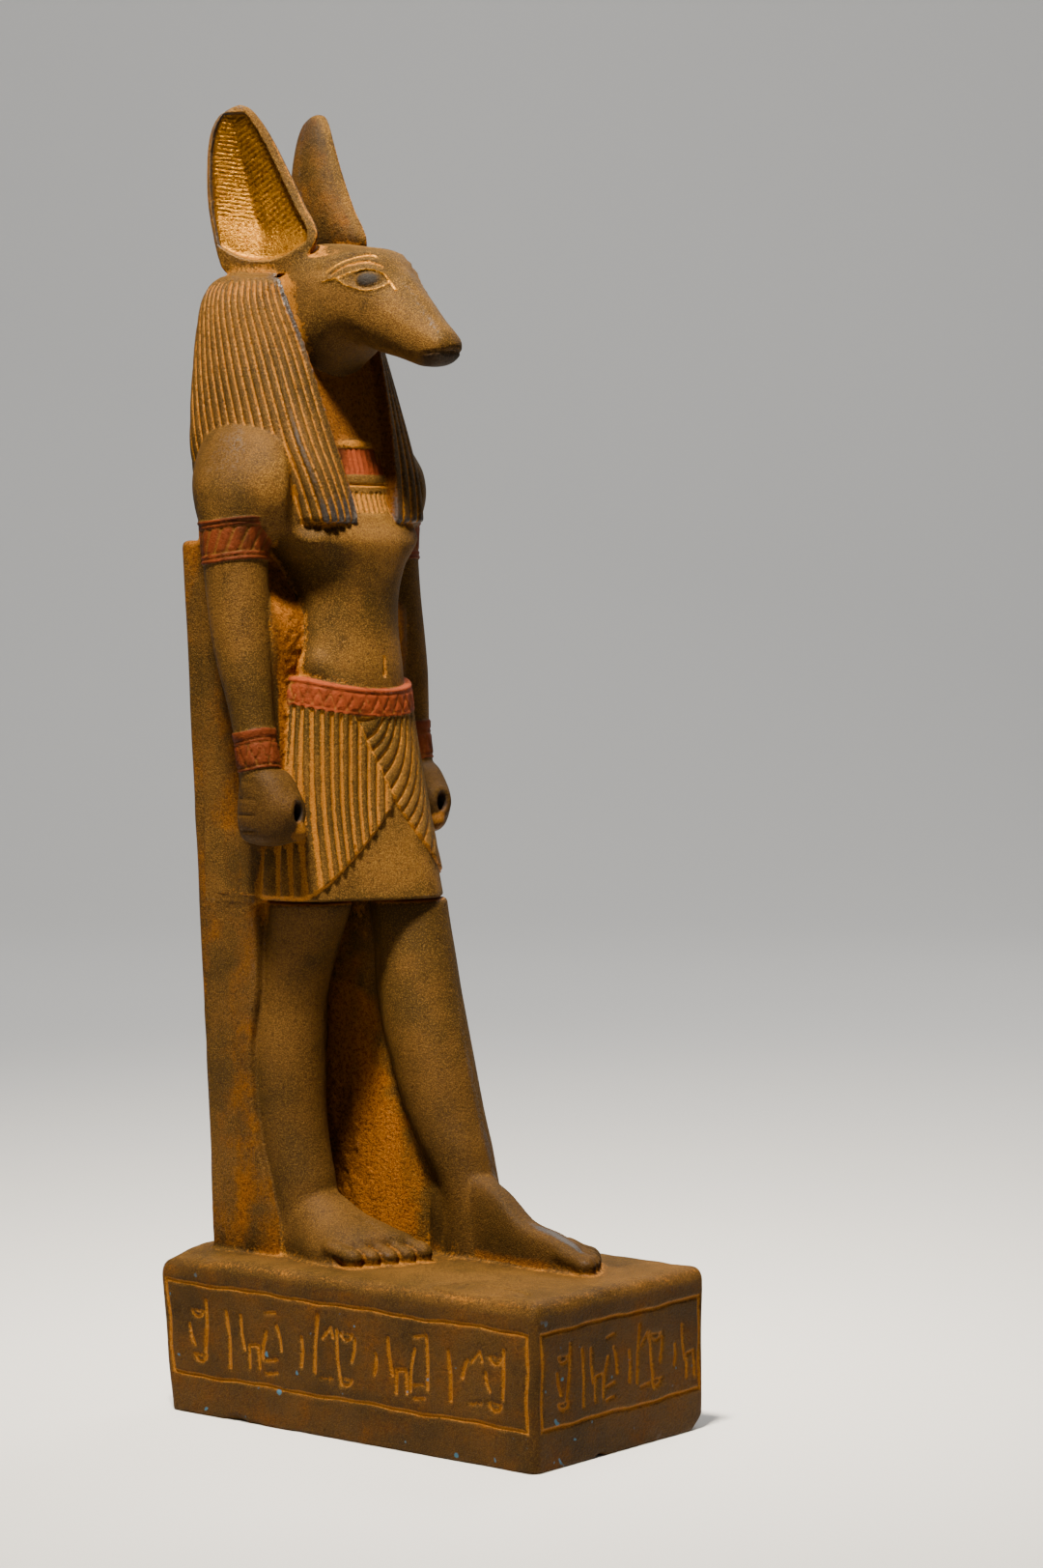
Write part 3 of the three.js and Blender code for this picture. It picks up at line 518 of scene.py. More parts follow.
    def distance(self, cloud: Cloud) -> Array:
        """Distance from the worn block.

        Args:
            cloud: The points.

        Returns:
            The distance of each point, negative inside.
        """
        y = self.shifted(cloud)
        sides = rounded(np.abs(cloud.x) - self.width / 2, np.abs(y) - self.length / 2, self.corner)
        dent = 0.16 + 0.16 * ripple(cloud, 17, 3)
        outer = max(cloud.high[0], -cloud.low[0]) > 27 or max(cloud.high[1], -cloud.low[1]) > 49
        if outer and cloud.low[2] < 33:
            lines, strokes = self.carving(cloud, y)
            dent = dent + lines + strokes
        top = cloud.z - PLINTH_TOP + self.top_wear(cloud)
        block = soft_max(sides + dent, top, self.edge + 0.9 * ripple(cloud, 9, 8))
        block = soft_max(block, self.nick(cloud), 0.6)
        return soft_max(block, -cloud.z, 0.7)

    def top_wear(self, cloud: Cloud) -> Array:
        """Shallow unevenness of the top, with a worn ring on it.

        Args:
            cloud: The points.

        Returns:
            How much is worn off.
        """
        wear = 0.08 + 0.08 * ripple(cloud, 13, 5)
        wear = wear + 0.9 * ease((-8 - cloud.x) / 30) * ease((cloud.y + 50) / 40)
        wear = wear + 1.9 * ease((-17 - cloud.x) / 15) * ease((cloud.y - 34) / 22)
        if cloud.high[2] > 34 and cloud.low[1] < -14:
            x, y = self.ring
            ring = np.hypot((cloud.x - x) / 5.2, (cloud.y - y) / 12.5)
            wear = wear + 0.32 * line((ring - 1) * 5.5, 0.5)
            for k in (-1, 0, 1):
                tick = np.hypot((cloud.x - x - 0.8 * k) * 0.45, cloud.y - y + 0.5 - 5.5 * k)
                wear = wear + 0.28 * line(tick, 0.75)
        return wear

    def nick(self, cloud: Cloud) -> Array:
        """Slanted planes that take off the broken lower corner in front on the left, and chips below.

        Args:
            cloud: The points.

        Returns:
            The distance outside what is broken off.
        """
        corner = (cloud.x - 31.3) * 0.62 - (cloud.z - 4.2) * 0.78 - (cloud.y + 54) * 0.1
        chips = np.full_like(cloud.x, -FAR)
        for x, y, z, radius in self.chips:
            ball = radius - np.sqrt((cloud.x - x) ** 2 + ((cloud.y - y) * 0.6) ** 2 + (cloud.z - z) ** 2)
            chips = np.maximum(chips, ball)
        return np.maximum(corner, chips)

    def marks(self, cloud: Cloud) -> dict[Mark, Array]:
        """Dust lies in the cut lines, and the sides are darker than the top as painted shade, partly a darker
        patina.

        Args:
            cloud: The points.

        Returns:
            Each mark's share at every point.
        """
        y = self.shifted(cloud)
        lines, strokes = self.carving(cloud, y)
        below = ease((PLINTH_TOP - 2 - cloud.z) / 2)
        cut = lines + strokes
        return {
            Mark.RECESS: np.clip(cut / self.line_deep, 0, 1) * below, Mark.ROUGH: 0.42 * below,
            # the sides darker than the top: painted shade, partly a darker patina
            Mark.DIM: 0.3 + 0.35 * below * (1 - np.clip(cut * 3, 0, 1)),
        }


@dataclass
class Slab(Form):
    """The slab behind the figure, from the plinth to the shoulders."""

    low: Point = (-24.2, 39.0, 34.0)
    high: Point = (24.2, 57.0, 200.6)
    foot: float = 20.3
    head: float = 24.1
    top: float = 200.4
    back: float = 50.2
    thick: float = 9.6
    corner: float = 1.1
    fillet: float = 1.6

    def half(self, z: Array) -> Array:
        """Half its width at a height."""
        return mix(self.foot, self.head, np.clip((z - PLINTH_TOP) / (self.top - PLINTH_TOP), 0, 1))

    def distance(self, cloud: Cloud) -> Array:
        """Distance from the slab.

        Args:
            cloud: The points.

        Returns:
            The distance of each point, negative inside.
        """
        middle = self.back + (cloud.z - PLINTH_TOP) * LEAN - self.thick / 2
        over_x, over_y = np.abs(cloud.x) - self.half(cloud.z), np.abs(cloud.y - middle) - self.thick / 2
        box = rounded(over_x, over_y, self.corner) + self.worn(cloud)
        return soft_max(box, cloud.z - self.top, 1.8)

    @staticmethod
    def worn(cloud: Cloud) -> Array:
        """How far the flat sides are worn down."""
        return 0.1 + 0.12 * ripple(cloud, 15, 11)

    def marks(self, cloud: Cloud) -> dict[Mark, Array]:
        """Stained orange and dark in upright streaks, and darker all over as painted shade."""
        return {Mark.ROUGH: streaks(cloud), Mark.DIM: np.full_like(cloud.x, 0.4)}


@dataclass
class SideWall(Form):
    """The stone left beside the slab, flush with its sides, up to the leg, the kilt and the arm."""

    slab: Slab
    front: Table
    side: int
    inner: float
    foot: float
    head: float
    rough_in: float = 1.2
    fillet: float = 0.8

    def __post_init__(self) -> None:
        """Works out the box."""
        left, right = span(self.side, self.inner, self.slab.head + 0.4)
        self.low, self.high = (left, 26.0, self.foot), (right, 52.0, self.head)

    def distance(self, cloud: Cloud) -> Array:
        """Distance from the wall.

        Args:
            cloud: The points.

        Returns:
            The distance of each point, negative inside.
        """
        out = self.side * cloud.x
        inside = ease((self.slab.half(cloud.z) - 2.5 - out) / 2)
        tool = inside * (0.13 * ripple(cloud, 2.7, 17) + 0.13 * ripple(cloud, 1.4, 19))
        front = (self.front.read(cloud.z).y - cloud.y) * 0.92 + tool
        faces = soft_max(front, out - self.slab.half(cloud.z) + self.slab.worn(cloud), 1.2)
        ends = np.maximum(self.foot - cloud.z, cloud.z - self.head)
        return np.maximum(faces, np.maximum(np.maximum(self.inner - out, cloud.y - 50), ends))

    def marks(self, cloud: Cloud) -> dict[Mark, Array]:
        """Rough in the gap beside the body, and at its foot outside, where it is also darker as painted
        shade.

        Args:
            cloud: The points.

        Returns:
            Each mark's share at every point.
        """
        inside = ease((self.slab.half(cloud.z) - self.rough_in - self.side * cloud.x) / 1.6)
        outside = streaks(cloud) + 0.2 * ease((54 - cloud.z) / 20)
        return {Mark.ROUGH: np.maximum(inside, outside), Mark.DIM: 0.4 * (1 - inside)}


@dataclass
class LegWall(Form):
    """The stone from the slab to the back of the advanced leg, rougher towards the rear."""

    leg: Table
    low: Point = (4.0, -8.0, 36.0)
    high: Point = (18.0, 46.0, 123.0)
    face: float = 5.9
    fillet: float = 0.45

    def back_share(self, cloud: Cloud) -> Array:
        """0 at the leg and 1 at the slab."""
        row = self.leg.read(cloud.z)
        return np.clip((cloud.y - row.y) / (45 - row.y), 0, 1)

    def distance(self, cloud: Cloud) -> Array:
        """Distance from the wall.

        Args:
            cloud: The points.

        Returns:
            The distance of each point, negative inside.
        """
        row = self.leg.read(cloud.z)
        rough = ease((self.back_share(cloud) - 0.3) * 2) * ease((106 - cloud.z) / 30)
        tool = rough * (0.34 * ripple(cloud, 3.4, 23) + 0.18 * ripple(cloud, 1.6, 29))
        streak = 0.22 * np.sin(cloud.y * 0.75 + 0.03 * cloud.z) * ease((cloud.z - 44) / 8)
        near = self.face - cloud.x + tool + streak
        rest = np.maximum(cloud.x - 17.2, np.maximum(row.y + 1 - cloud.y, cloud.y - 45))
        return np.maximum(near, np.maximum(rest, cloud.z - 121))

    def marks(self, cloud: Cloud) -> dict[Mark, Array]:
        """The tooling fades towards the leg and upwards."""
        backward, downward = ease((self.back_share(cloud) - 0.1) * 2), ease((112 - cloud.z) / 45)
        return {Mark.ROUGH: (0.35 + 0.65 * backward) * (0.5 + 0.5 * downward)}


# Legs and feet


@dataclass
class Limb(Form):
    """A round limb through measured sections."""

    table: Table
    low: Point
    high: Point
    cap: float = 1.2
    shin: float = 0.0
    fillet: float = 1.2

    def distance(self, cloud: Cloud) -> Array:
        """Distance from the limb, rounded off at its ends.

        Args:
            cloud: The points.

        Returns:
            The distance of each point, negative inside.
        """
        row = self.table.read(cloud.z)
        round_part = oval(cloud.x - row.x, cloud.y - row.y, row.wide / 2, row.deep / 2)
        ends = np.maximum(self.low[2] - cloud.z, cloud.z - self.high[2])
        return soft_max(round_part, ends, self.cap)

    def marks(self, cloud: Cloud) -> dict[Mark, Array]:
        """Painted shade, darker towards the foot, and rubbed down the shin with a painted highlight.

        Args:
            cloud: The points.

        Returns:
            Each mark's share at every point.
        """
        row = self.table.read(cloud.z)
        # painted shade, darker towards the foot; a painted highlight, with rubbed wear, down the shin's front
        shin = line(cloud.x - row.x - 1.5, 1.6) * (cloud.y < row.y) * ease((108 - cloud.z) / 20)
        return {Mark.DIM: 0.28 + 0.25 * ease((100 - cloud.z) / 40), Mark.RUB: self.shin * shin}


@dataclass
class Foot(Form):
    """A foot from heel to toes: an instep with a ridge on its inner side, and five round toes."""

    inner: float
    outer: float
    heel_inner: float
    heel_outer: float
    heel: float
    tip: float
    slant: float
    heights: Table
    ridge: float = 0.42
    inner_power: float = 3.0
    outer_power: float = 2.2
    # how strongly the instep's ridge carries rub and a painted highlight
    ridge_highlight: float = 0.35
    # how much painted shade darkens the foot
    shade_and_patina: float = 0.45
    toe_radii: tuple[float, ...] = (2.3, 1.95, 1.9, 1.85, 2.0)
    toe_shares: tuple[float, ...] = (0.12, 0.335, 0.535, 0.725, 0.905)
    fillet: float = 1.5

    def __post_init__(self) -> None:
        """Works out the box."""
        left, right = sorted((self.inner, self.outer))
        self.low = (left - 0.5, self.tip - 0.5, PLINTH_TOP - 2)
        self.high = (right + 0.5, self.heel + 1, PLINTH_TOP + 20)

    def tip_at(self, across: Array) -> Array:
        """How far forward the toes reach at a share of the width."""
        return self.tip + self.slant * across**1.5

    def distance(self, cloud: Cloud) -> Array:
        """Distance from the foot.

        Args:
            cloud: The points.

        Returns:
            The distance of each point, negative inside.
        """
        way = np.sign(self.outer - self.inner)
        across = np.clip((cloud.x - self.inner) / (self.outer - self.inner), 0, 1)
        tip = self.tip_at(across)
        along = np.clip((self.heel - cloud.y) / (self.heel - tip), 0, 1)
        spread = ease((along - 0.1) / 0.65)
        edge_in, edge_out = mix(self.heel_inner, self.inner, spread), mix(self.heel_outer, self.outer, spread)
        peak = mix(edge_in, edge_out, mix(0.5, self.ridge, ease(along * 1.4)))
        toward = (cloud.x - peak) * way
        half = np.maximum(np.abs(np.where(toward > 0, edge_out - peak, peak - edge_in)), 1.0)
        high = np.maximum(self.heights.read(-cloud.y + (tip - self.tip) * along).high, 3.4)
        rise = np.maximum(cloud.z - PLINTH_TOP, -1.0)
        sole = squircle(toward, rise, half, high, np.where(toward > 0, self.outer_power, self.inner_power))
        sole = soft_max(sole, tip + 4.6 - cloud.y, 2.4)
        sole = soft_max(sole, cloud.y - self.heel, 3.0)
        toes = np.full_like(cloud.x, FAR)
        if cloud.low[1] < self.tip + self.slant + 9:
            for share, radius in zip(self.toe_shares, self.toe_radii):
                toes = np.minimum(toes, self.toe(cloud, share, radius))
        whole = soft_min(sole, toes, 0.7)
        return np.maximum(whole, PLINTH_TOP - 2 - cloud.z)

    def toe(self, cloud: Cloud, share: float, radius: float) -> Array:
        """Distance from one toe, a tapering round bar that dips to its tip and carries a nail.

        Args:
            cloud: The points.
            share: Where on the width of the foot it grows.
            radius: Half its thickness.

        Returns:
            The distance of each point, negative inside.
        """
        tip = float(self.tip_at(share))
        x = mix(self.inner, self.outer, share)
        root = (x, tip + 8.6, PLINTH_TOP + 3.9 - 0.7 * share)
        gap, t = bar(cloud, root, (x, tip + radius, PLINTH_TOP + radius * 0.8))
        gap = gap - radius * (0.98 + 0.08 * line(t - 0.9, 0.25) - 0.08 * line(t - 0.5, 0.2))
        nail = np.hypot((cloud.x - x) / (radius * 0.62), (cloud.y - tip - radius * 0.95) / (radius * 0.75))
        return gap + 0.16 * line((nail - 1) * radius * 0.7, 0.22) * (cloud.z > PLINTH_TOP + radius)

    def marks(self, cloud: Cloud) -> dict[Mark, Array]:
        """Rubbed along the ridge of the instep with a painted highlight, and on the toes; rough low down on
        the inner side, and darker all over as painted shade.

        Args:
            cloud: The points.

        Returns:
            Each mark's share at every point.
        """
        across = (cloud.x - self.inner) / (self.outer - self.inner)
        up = cloud.z - PLINTH_TOP
        front = ease((self.tip + 26 - cloud.y) / 12)
        # painted highlight along the instep's ridge, with rubbed wear
        crest = line(across - self.ridge * 0.9, 0.13) * front
        toe_roots = self.tip + self.slant * np.clip(across, 0, 1) + 6.5
        toes = ease((toe_roots - cloud.y) / 3) * ease((up - 1.4) / 1.2)
        low_side = ease((0.3 - across) / 0.2) * ease((4.5 - up) / 4) * ease((cloud.y - self.tip - 6) / 8)
        return {
            Mark.RUB: np.maximum(self.ridge_highlight * crest * ease((up - 3) / 2), 0.2 * toes),
            # painted shade, the whole foot darker
            Mark.ROUGH: 0.8 * low_side, Mark.DIM: np.full_like(cloud.x, self.shade_and_patina),
        }


# Kilt and belt


@dataclass
class Kilt(Form):
    """The kilt, whose two pleated wings cross over a plain flap, and the belt over it."""

    table: Table
    low: Point = (-22.0, 4.0, 117.0)
    high: Point = (22.0, 48.0, 170.0)
    belt_high: float = 169.4
    belt_dip: float = 2.9
    belt_wide: float = 6.2
    belt_proud: float = 1.1
    pleats_right: tuple[tuple[float, ...], ...] = (
        (-165, -140, -122, -107, -95, -86, -77, -67, -57.5, -49, -41, -33, -25.5, -17.5, -9.5, -2, 6, 14),
        (-163, -137, -117, -99, -82, -71, -61, -50, -42.5, -36.5, -31, -26, -20.5, -16, -11, -5, 1, 9))
    pleats_left: tuple[tuple[float, ...], ...] = (
        (-60, -40, -27, -13, -5, 2, 8, 15, 22, 31, 41, 50, 58, 67, 75, 83, 92, 102, 114, 130, 155),
        (-65, -48, -34, -24, -18, -14.5, -11, -6, -1, 3.5, 7, 11, 15, 21, 29, 40, 54, 72, 96, 122, 153))
    hem_left: float = -18.6
    apex: tuple[float, float] = (0.8, 141.2)
    fold: tuple[float, float] = (-8.1, 160.0)
    end: tuple[float, float] = (13.0, 126.0)
    side_turn: float = 2.6
    fillet: float = 0.5

    def __post_init__(self) -> None:
        """Draws the pleats, the wings and the belt on a sheet of angle and height."""
        self.sheet = Sheet((-145.0, HEM - 1), (145.0, 171.0), 0.25)
        self.draw()

    @staticmethod
    def sine(angle: Array) -> Array:
        """How far out a place at an angle lies, held at 1 along the flat sides."""
        return np.sin(np.radians(np.clip(angle, -90, 90)))

    def belt_foot(self, angle: Array) -> Array:
        """Height of the belt's lower edge at an angle in degrees from the front."""
        facing = np.maximum(0, np.cos(np.radians(angle)))
        return self.belt_high - self.belt_wide - self.belt_dip * facing**1.5

    def right_edge(self, x: Array) -> Array:
        """Height of the right wing's lower edge, from the hem up to the apex of the flap."""
        s = np.clip((x - self.hem_left) / (self.apex[0] - self.hem_left), 0, 1)
        return HEM + 0.9 + (self.apex[1] - HEM - 0.9) * (0.75 * s + 0.25 * s * s)

    def left_edge(self, x: Array) -> Array:
        """Height of the left wing's lower edge, from the fold past the apex to the left side.

        Args:
            x: How far to the side.

        Returns:
            The height.
        """
        s = np.minimum((x - self.fold[0]) / (self.end[0] - self.fold[0]), 1.4)
        drop = (self.fold[1] - self.end[1]) * (1.537 * s - 0.537 * s * s)
        return np.maximum(HEM + 0.9, self.fold[1] - drop)

    def pleat_number(self, pleats: tuple, edge: Callable[[Array], Array], along: float, down: float) -> Array:
        """Which pleat passes each place on the sheet, the whole numbers lying in the grooves.

        Args:
            pleats: The angle of every groove at the belt, and at its lower end.
            edge: Height of the wing's lower edge.
            along: How far a pleat has turned at its middle.
            down: How far it has come down there.

        Returns:
            The numbers.
        """
        number = np.linspace(0, len(pleats[0]) - 1, 811)
        top, foot = (np.interp(number, np.arange(len(row)), row) for row in pleats)
        top_z = self.belt_foot(top)
        foot_z = edge(float(self.table.read(np.array([140.0])).half[0]) * self.sine(foot))
        middle, middle_z = mix(top, foot, along), mix(top_z, foot_z, down)
        numbers = np.empty_like(self.sheet.u)
        for k, z in enumerate(self.sheet.v[0]):
            a, b, c = foot_z - 2 * middle_z + top_z, middle_z - foot_z, foot_z - z
            root = np.sqrt(np.maximum(b * b - a * c, 0))
            v = np.clip(-c / np.maximum(b + root, 1e-3), -0.6, 1.2)
            angle = (1 - v) ** 2 * foot + 2 * v * (1 - v) * middle + v * v * top
            order = np.argsort(angle)
            numbers[:, k] = np.interp(self.sheet.u[:, 0], angle[order], number[order])
        return numbers

    def draw(self) -> None:
        """Lays the lift of the cloth, the belt's cuts and their marks on the sheet."""
        angle, z = self.sheet.u, self.sheet.v
        x = self.table.read(z.ravel()).half.reshape(z.shape) * self.sine(angle)
        run = (self.apex[1] - self.fold[1], self.fold[0] - self.apex[0])
        fold = ((x - self.apex[0]) * run[0] + (z - self.apex[1]) * run[1]) / math.hypot(*run)
        right = np.minimum((z - self.right_edge(x)) * 0.74, fold)
        left = (z - self.left_edge(x)) * 0.82
        on_right, on_left = ease(right / 0.5 + 0.5), ease(left / 0.5 + 0.5)
        number_right = self.pleat_number(self.pleats_right, self.right_edge, 0.5, 0.5)
        number_left = self.pleat_number(self.pleats_left, self.left_edge, 0.14, 0.62)
        ridge_right = 0.5 - 0.5 * np.cos(2 * math.pi * number_right)
        ridge_left = np.abs(np.sin(math.pi * number_left))
        lift_right = 0.42 + 0.72 * ridge_right**0.8
        lift_left = 0.1 + 0.78 * ridge_left**0.55
        cloth = mix(on_left * lift_left, lift_right, on_right)
        groove = mix(on_left * (1.0 - ridge_left**0.55), (1 - ridge_right) ** 2.4, on_right)
        crease = line(np.minimum(np.abs(right), np.where(fold < 0, np.abs(left), FAR)), 0.45)
        belt = z - self.belt_foot(angle)
        on_belt = ease(belt / 0.35 + 0.5)
        step = angle * math.pi / 180 * 15 / 2.7
        zigzag = np.abs(np.abs((step % 1) - 0.5) * 6.4 + 1.0 - belt) * 0.5
        cut = 0.30 * line(zigzag, 0.3) + 0.30 * line(belt - 5.0, 0.28) + 0.25 * line(belt - 0.7, 0.25)
        self.sheet.put("lift", mix(cloth, self.belt_proud - cut, on_belt))
        self.sheet.put("recess", mix(np.maximum(groove, crease * 0.8), cut * 1.5, on_belt))
        self.sheet.put("red", on_belt)

    def place(self, cloud: Cloud) -> tuple[Array, Array, Array]:
        """Distance from the plain skin, and the angle from the front in degrees.

        Args:
            cloud: The points.

        Returns:
            The distance, the angle, and how far behind the middle each point lies.
        """
        row = self.table.read(cloud.z)
        sine = np.clip(cloud.x / row.half, -1, 1)
        facing = np.sqrt(1 - sine * sine)
        lean = row.push * ease((cloud.x + 12) / 24) * ease(facing * 3)
        dy = cloud.y + lean - row.y
        ahead = dy < 0
        skin = np.where(ahead, oval(cloud.x, dy, row.half, row.deep), np.abs(cloud.x) - row.half)
        angle = np.degrees(np.arctan2(cloud.x / row.half, np.where(ahead, -dy / row.deep, 0.0)))
        angle = angle + np.sign(cloud.x) * np.maximum(dy, 0) * self.side_turn
        return skin, angle, dy

    def distance(self, cloud: Cloud) -> Array:
        """Distance from the dressed kilt.

        Args:
            cloud: The points.

        Returns:
            The distance of each point, negative inside.
        """
        skin, angle, _ = self.place(cloud)
        (lift,) = self.sheet.read(angle, cloud.z, "lift")
        ends = np.maximum(HEM - cloud.z, cloud.z - self.belt_foot(angle) - self.belt_wide)
        return soft_max(soft_max(skin - lift, ends, 0.8), cloud.y - 47, 0.5)

    def marks(self, cloud: Cloud) -> dict[Mark, Array]:
        """Dust in the pleats and red on the belt.

        Args:
            cloud: The points.

        Returns:
            Each mark's share at every point.
        """
        _, angle, _ = self.place(cloud)
        recess, red = self.sheet.read(angle, cloud.z, "recess", "red")
        red = red * (cloud.z < self.belt_foot(angle) + self.belt_wide + 0.2)
        return {Mark.RECESS: recess, Mark.RED: red, Mark.CLEAN: 1 - ease(recess * 1.6)}


# Body and arms


@dataclass
class Torso(Form):
    """The bare chest and belly, with the navel."""

    table: Table
    low: Point = (-22.0, 13.0, 158.0)
    high: Point = (22.0, 47.0, 223.0)
    fillet: float = 1.0

    def distance(self, cloud: Cloud) -> Array:
        """Distance from the body.

        Args:
            cloud: The points.

        Returns:
            The distance of each point, negative inside.
        """
        row = self.table.read(cloud.z)
        deep = np.where(cloud.y < row.y, row.deep, 46 - row.y)
        skin = squircle(cloud.x, cloud.y - row.y, row.half, deep, 2 / row.square)
        if cloud.low[2] < 179 and cloud.low[0] < 4 and cloud.high[0] > -4:
            skin = skin + 0.55 * line(np.hypot(cloud.x, (cloud.z - 170.2) * 0.85), 0.7)
            drop = np.hypot(cloud.x, np.maximum(np.maximum(171 - cloud.z, cloud.z - 173.6), 0))
            skin = skin + 0.35 * line(drop, 0.36) * (cloud.y < 20)
        return np.maximum(skin, np.maximum(158 - cloud.z, cloud.z - 222))

    def marks(self, cloud: Cloud) -> dict[Mark, Array]:
        """Dust in the navel, in a thin line with a drop at its foot.

        Args:
            cloud: The points.

        Returns:
            Each mark's share at every point.
        """
        foot = np.hypot(cloud.x, cloud.z - 170.3)
        drop = np.hypot(cloud.x, np.maximum(np.maximum(170 - cloud.z, cloud.z - 173.8), 0))
        return {Mark.RECESS: 1.4 * np.maximum(line(drop, 0.5), line(foot, 0.9)) * (cloud.y < 20)}


@dataclass
class Egg(Form):
    """A plain rounded form given by its centre and three radii, on one side of the body."""

    side: int
    centre: Point
    radii: Point
    fillet: float = 2.5

    def __post_init__(self) -> None:
        """Works out the box."""
        left, right = span(self.side, self.centre[0] - self.radii[0], self.centre[0] + self.radii[0])
        self.low = (left, self.centre[1] - self.radii[1], self.centre[2] - self.radii[2])
        self.high = (right, self.centre[1] + self.radii[1], self.centre[2] + self.radii[2])

    def distance(self, cloud: Cloud) -> Array:
        """Distance from an ellipsoid.

        Args:
            cloud: The points.

        Returns:
            The distance of each point, negative inside.
        """
        shares = scaled(cloud, self.side, self.centre, self.radii)
        reach = np.sqrt(sum(share**2 for share in shares)) + 1e-6
        slope = np.sqrt(sum((share / radius) ** 2 for share, radius in zip(shares, self.radii))) + 1e-6
        return reach * (reach - 1) / slope


@dataclass
class Hip(Egg):
    """The slight bump of a hip over the belt."""

    centre: Point = (12.3, 24.9, 171.6)
    radii: Point = (2.6, 3.6, 3.9)
    fillet: float = 1.6

    def marks(self, cloud: Cloud) -> dict[Mark, Array]:
        """Dark and a little rubbed."""
        spot = ease(1.2 - np.hypot(cloud.y - 23.6, (cloud.z - 171.8) * 0.8) / 2.6)
        return {Mark.RUB: 0.15 * spot, Mark.DIM: 0.4 * spot}


@dataclass
class Furrow(Form):
    """A soft furrow pressed into the stone along a straight line."""

    start: Point
    stop: Point
    radius: float
    fillet: float = 2.4
    removes = True

    def __post_init__(self) -> None:
        """Works out the box."""
        self.low = tuple(min(a, b) - self.radius for a, b in zip(self.start, self.stop))
        self.high = tuple(max(a, b) + self.radius for a, b in zip(self.start, self.stop))

    def distance(self, cloud: Cloud) -> Array:
        """Distance from a round bar."""
        return bar(cloud, self.start, self.stop)[0] - self.radius


@dataclass
class Shoulder(Egg):
    """The front of a shoulder, between the arm and the chest."""

    centre: Point = (18.5, 32.0, 211.0)
    radii: Point = (11.0, 9.6, 10.4)
    fillet: float = 3.0


class Band(Enum):
    """The painted rings on an arm, as their lowest and highest height."""

    ARM = (195.4, 205.0)
    WRIST = (148.6, 157.4)


@dataclass
class Arm(Form):
    """An arm with its two painted bands."""

    side: int
    table: Table
    fillet: float = 1.3
    proud: float = 0.4
    tilt: float = 0.9

    def __post_init__(self) -> None:
        """Works out the box and draws both bands, unrolled round the arm."""
        left, right = span(self.side, 15.0, 35.6)
        self.low, self.high = (left, 22.0, 141.0), (right, 55.0, 228.0)
        self.sheet = Sheet((-181.0, 146.0), (181.0, 208.0), 0.2)
        lift, red, cuts = (np.zeros_like(self.sheet.u) for _ in range(3))
        turn = np.radians(self.sheet.u)
        z = self.sheet.v - self.tilt * np.cos(turn) - 0.12 * np.sin(turn * 3)
        for band in Band:
            low, high = band.value
            on = between(z, low, high)
            cut = self.cuts(band, turn, (z - low) / (high - low))
            lift = lift + on * (self.proud - cut)
            cuts = cuts + on * cut
            red = red + on
        self.sheet.put("lift", lift)
        self.sheet.put("red", red)
        self.sheet.put("recess", cuts * 1.6)

    def cuts(self, band: Band, turn: Array, up: Array) -> Array:
        """Depth of the lines cut into a band.

        Args:
            band: Which of the two.
            turn: The angle round the arm.
            up: The share of the band's height.

        Returns:
            The depth.
        """
        if band is Band.ARM:
            borders = sum(line((up - at) * 9.6, 0.3) for at in (0.1, 0.2, 0.8, 0.9))
            panel = ((turn * 7.4 + (up - 0.5) * 3.4) / 2.9) % 1 - 0.5
            slats = line(panel * 2.9, 0.34) * (np.abs(up - 0.5) < 0.3)
            return 0.34 * borders + 0.3 * slats + 0.14 * (np.abs(up - 0.5) < 0.28)
        borders = sum(line((up - at) * 8.8, 0.28) for at in (0.08, 0.66, 0.76))
        fold = np.abs(((turn * 5.4) / 3.2) % 1 - 0.5) * 2
        peak = line((up - 0.12 - 0.5 * fold) * 4.6, 0.3) * (up < 0.64)
        return 0.34 * borders + 0.32 * peak

    def place(self, cloud: Cloud) -> tuple[Array, Array]:
        """Distance from the bare arm, and the angle round it in degrees from the front.

        Args:
            cloud: The points.

        Returns:
            The distance and the angle.
        """
        row = self.table.read(cloud.z)
        dx, dy = self.side * cloud.x - row.x, cloud.y - row.y
        return oval(dx, dy, row.wide / 2, row.deep / 2), np.degrees(np.arctan2(dx, -dy))

    def distance(self, cloud: Cloud) -> Array:
        """Distance from the banded arm.

        Args:
            cloud: The points.

        Returns:
            The distance of each point, negative inside.
        """
        skin, angle = self.place(cloud)
        if cloud.low[2] < 208:
            (lift,) = self.sheet.read(angle, cloud.z, "lift")
            skin = skin - lift
        return soft_max(skin, np.maximum(141 - cloud.z, cloud.z - 227.8), 1.5)

    def marks(self, cloud: Cloud) -> dict[Mark, Array]:
        """Red paint on the bands, and a dark rubbed crown.

        Args:
            cloud: The points.

        Returns:
            Each mark's share at every point.
        """
        _, angle = self.place(cloud)
        red, recess = self.sheet.read(angle, cloud.z, "red", "recess")
        crown = ease((cloud.z - 209) / 8) * ease((25 - np.abs(angle + self.side * 20 - 60)) / 25 + 1)
        shade_and_patina = 0.25 + 0.25 * red + 0.15 * ease((cloud.z - 204) / 6)
        return {Mark.RED: red, Mark.RECESS: recess, Mark.RUB: 0.3 * crown, Mark.DIM: shade_and_patina}


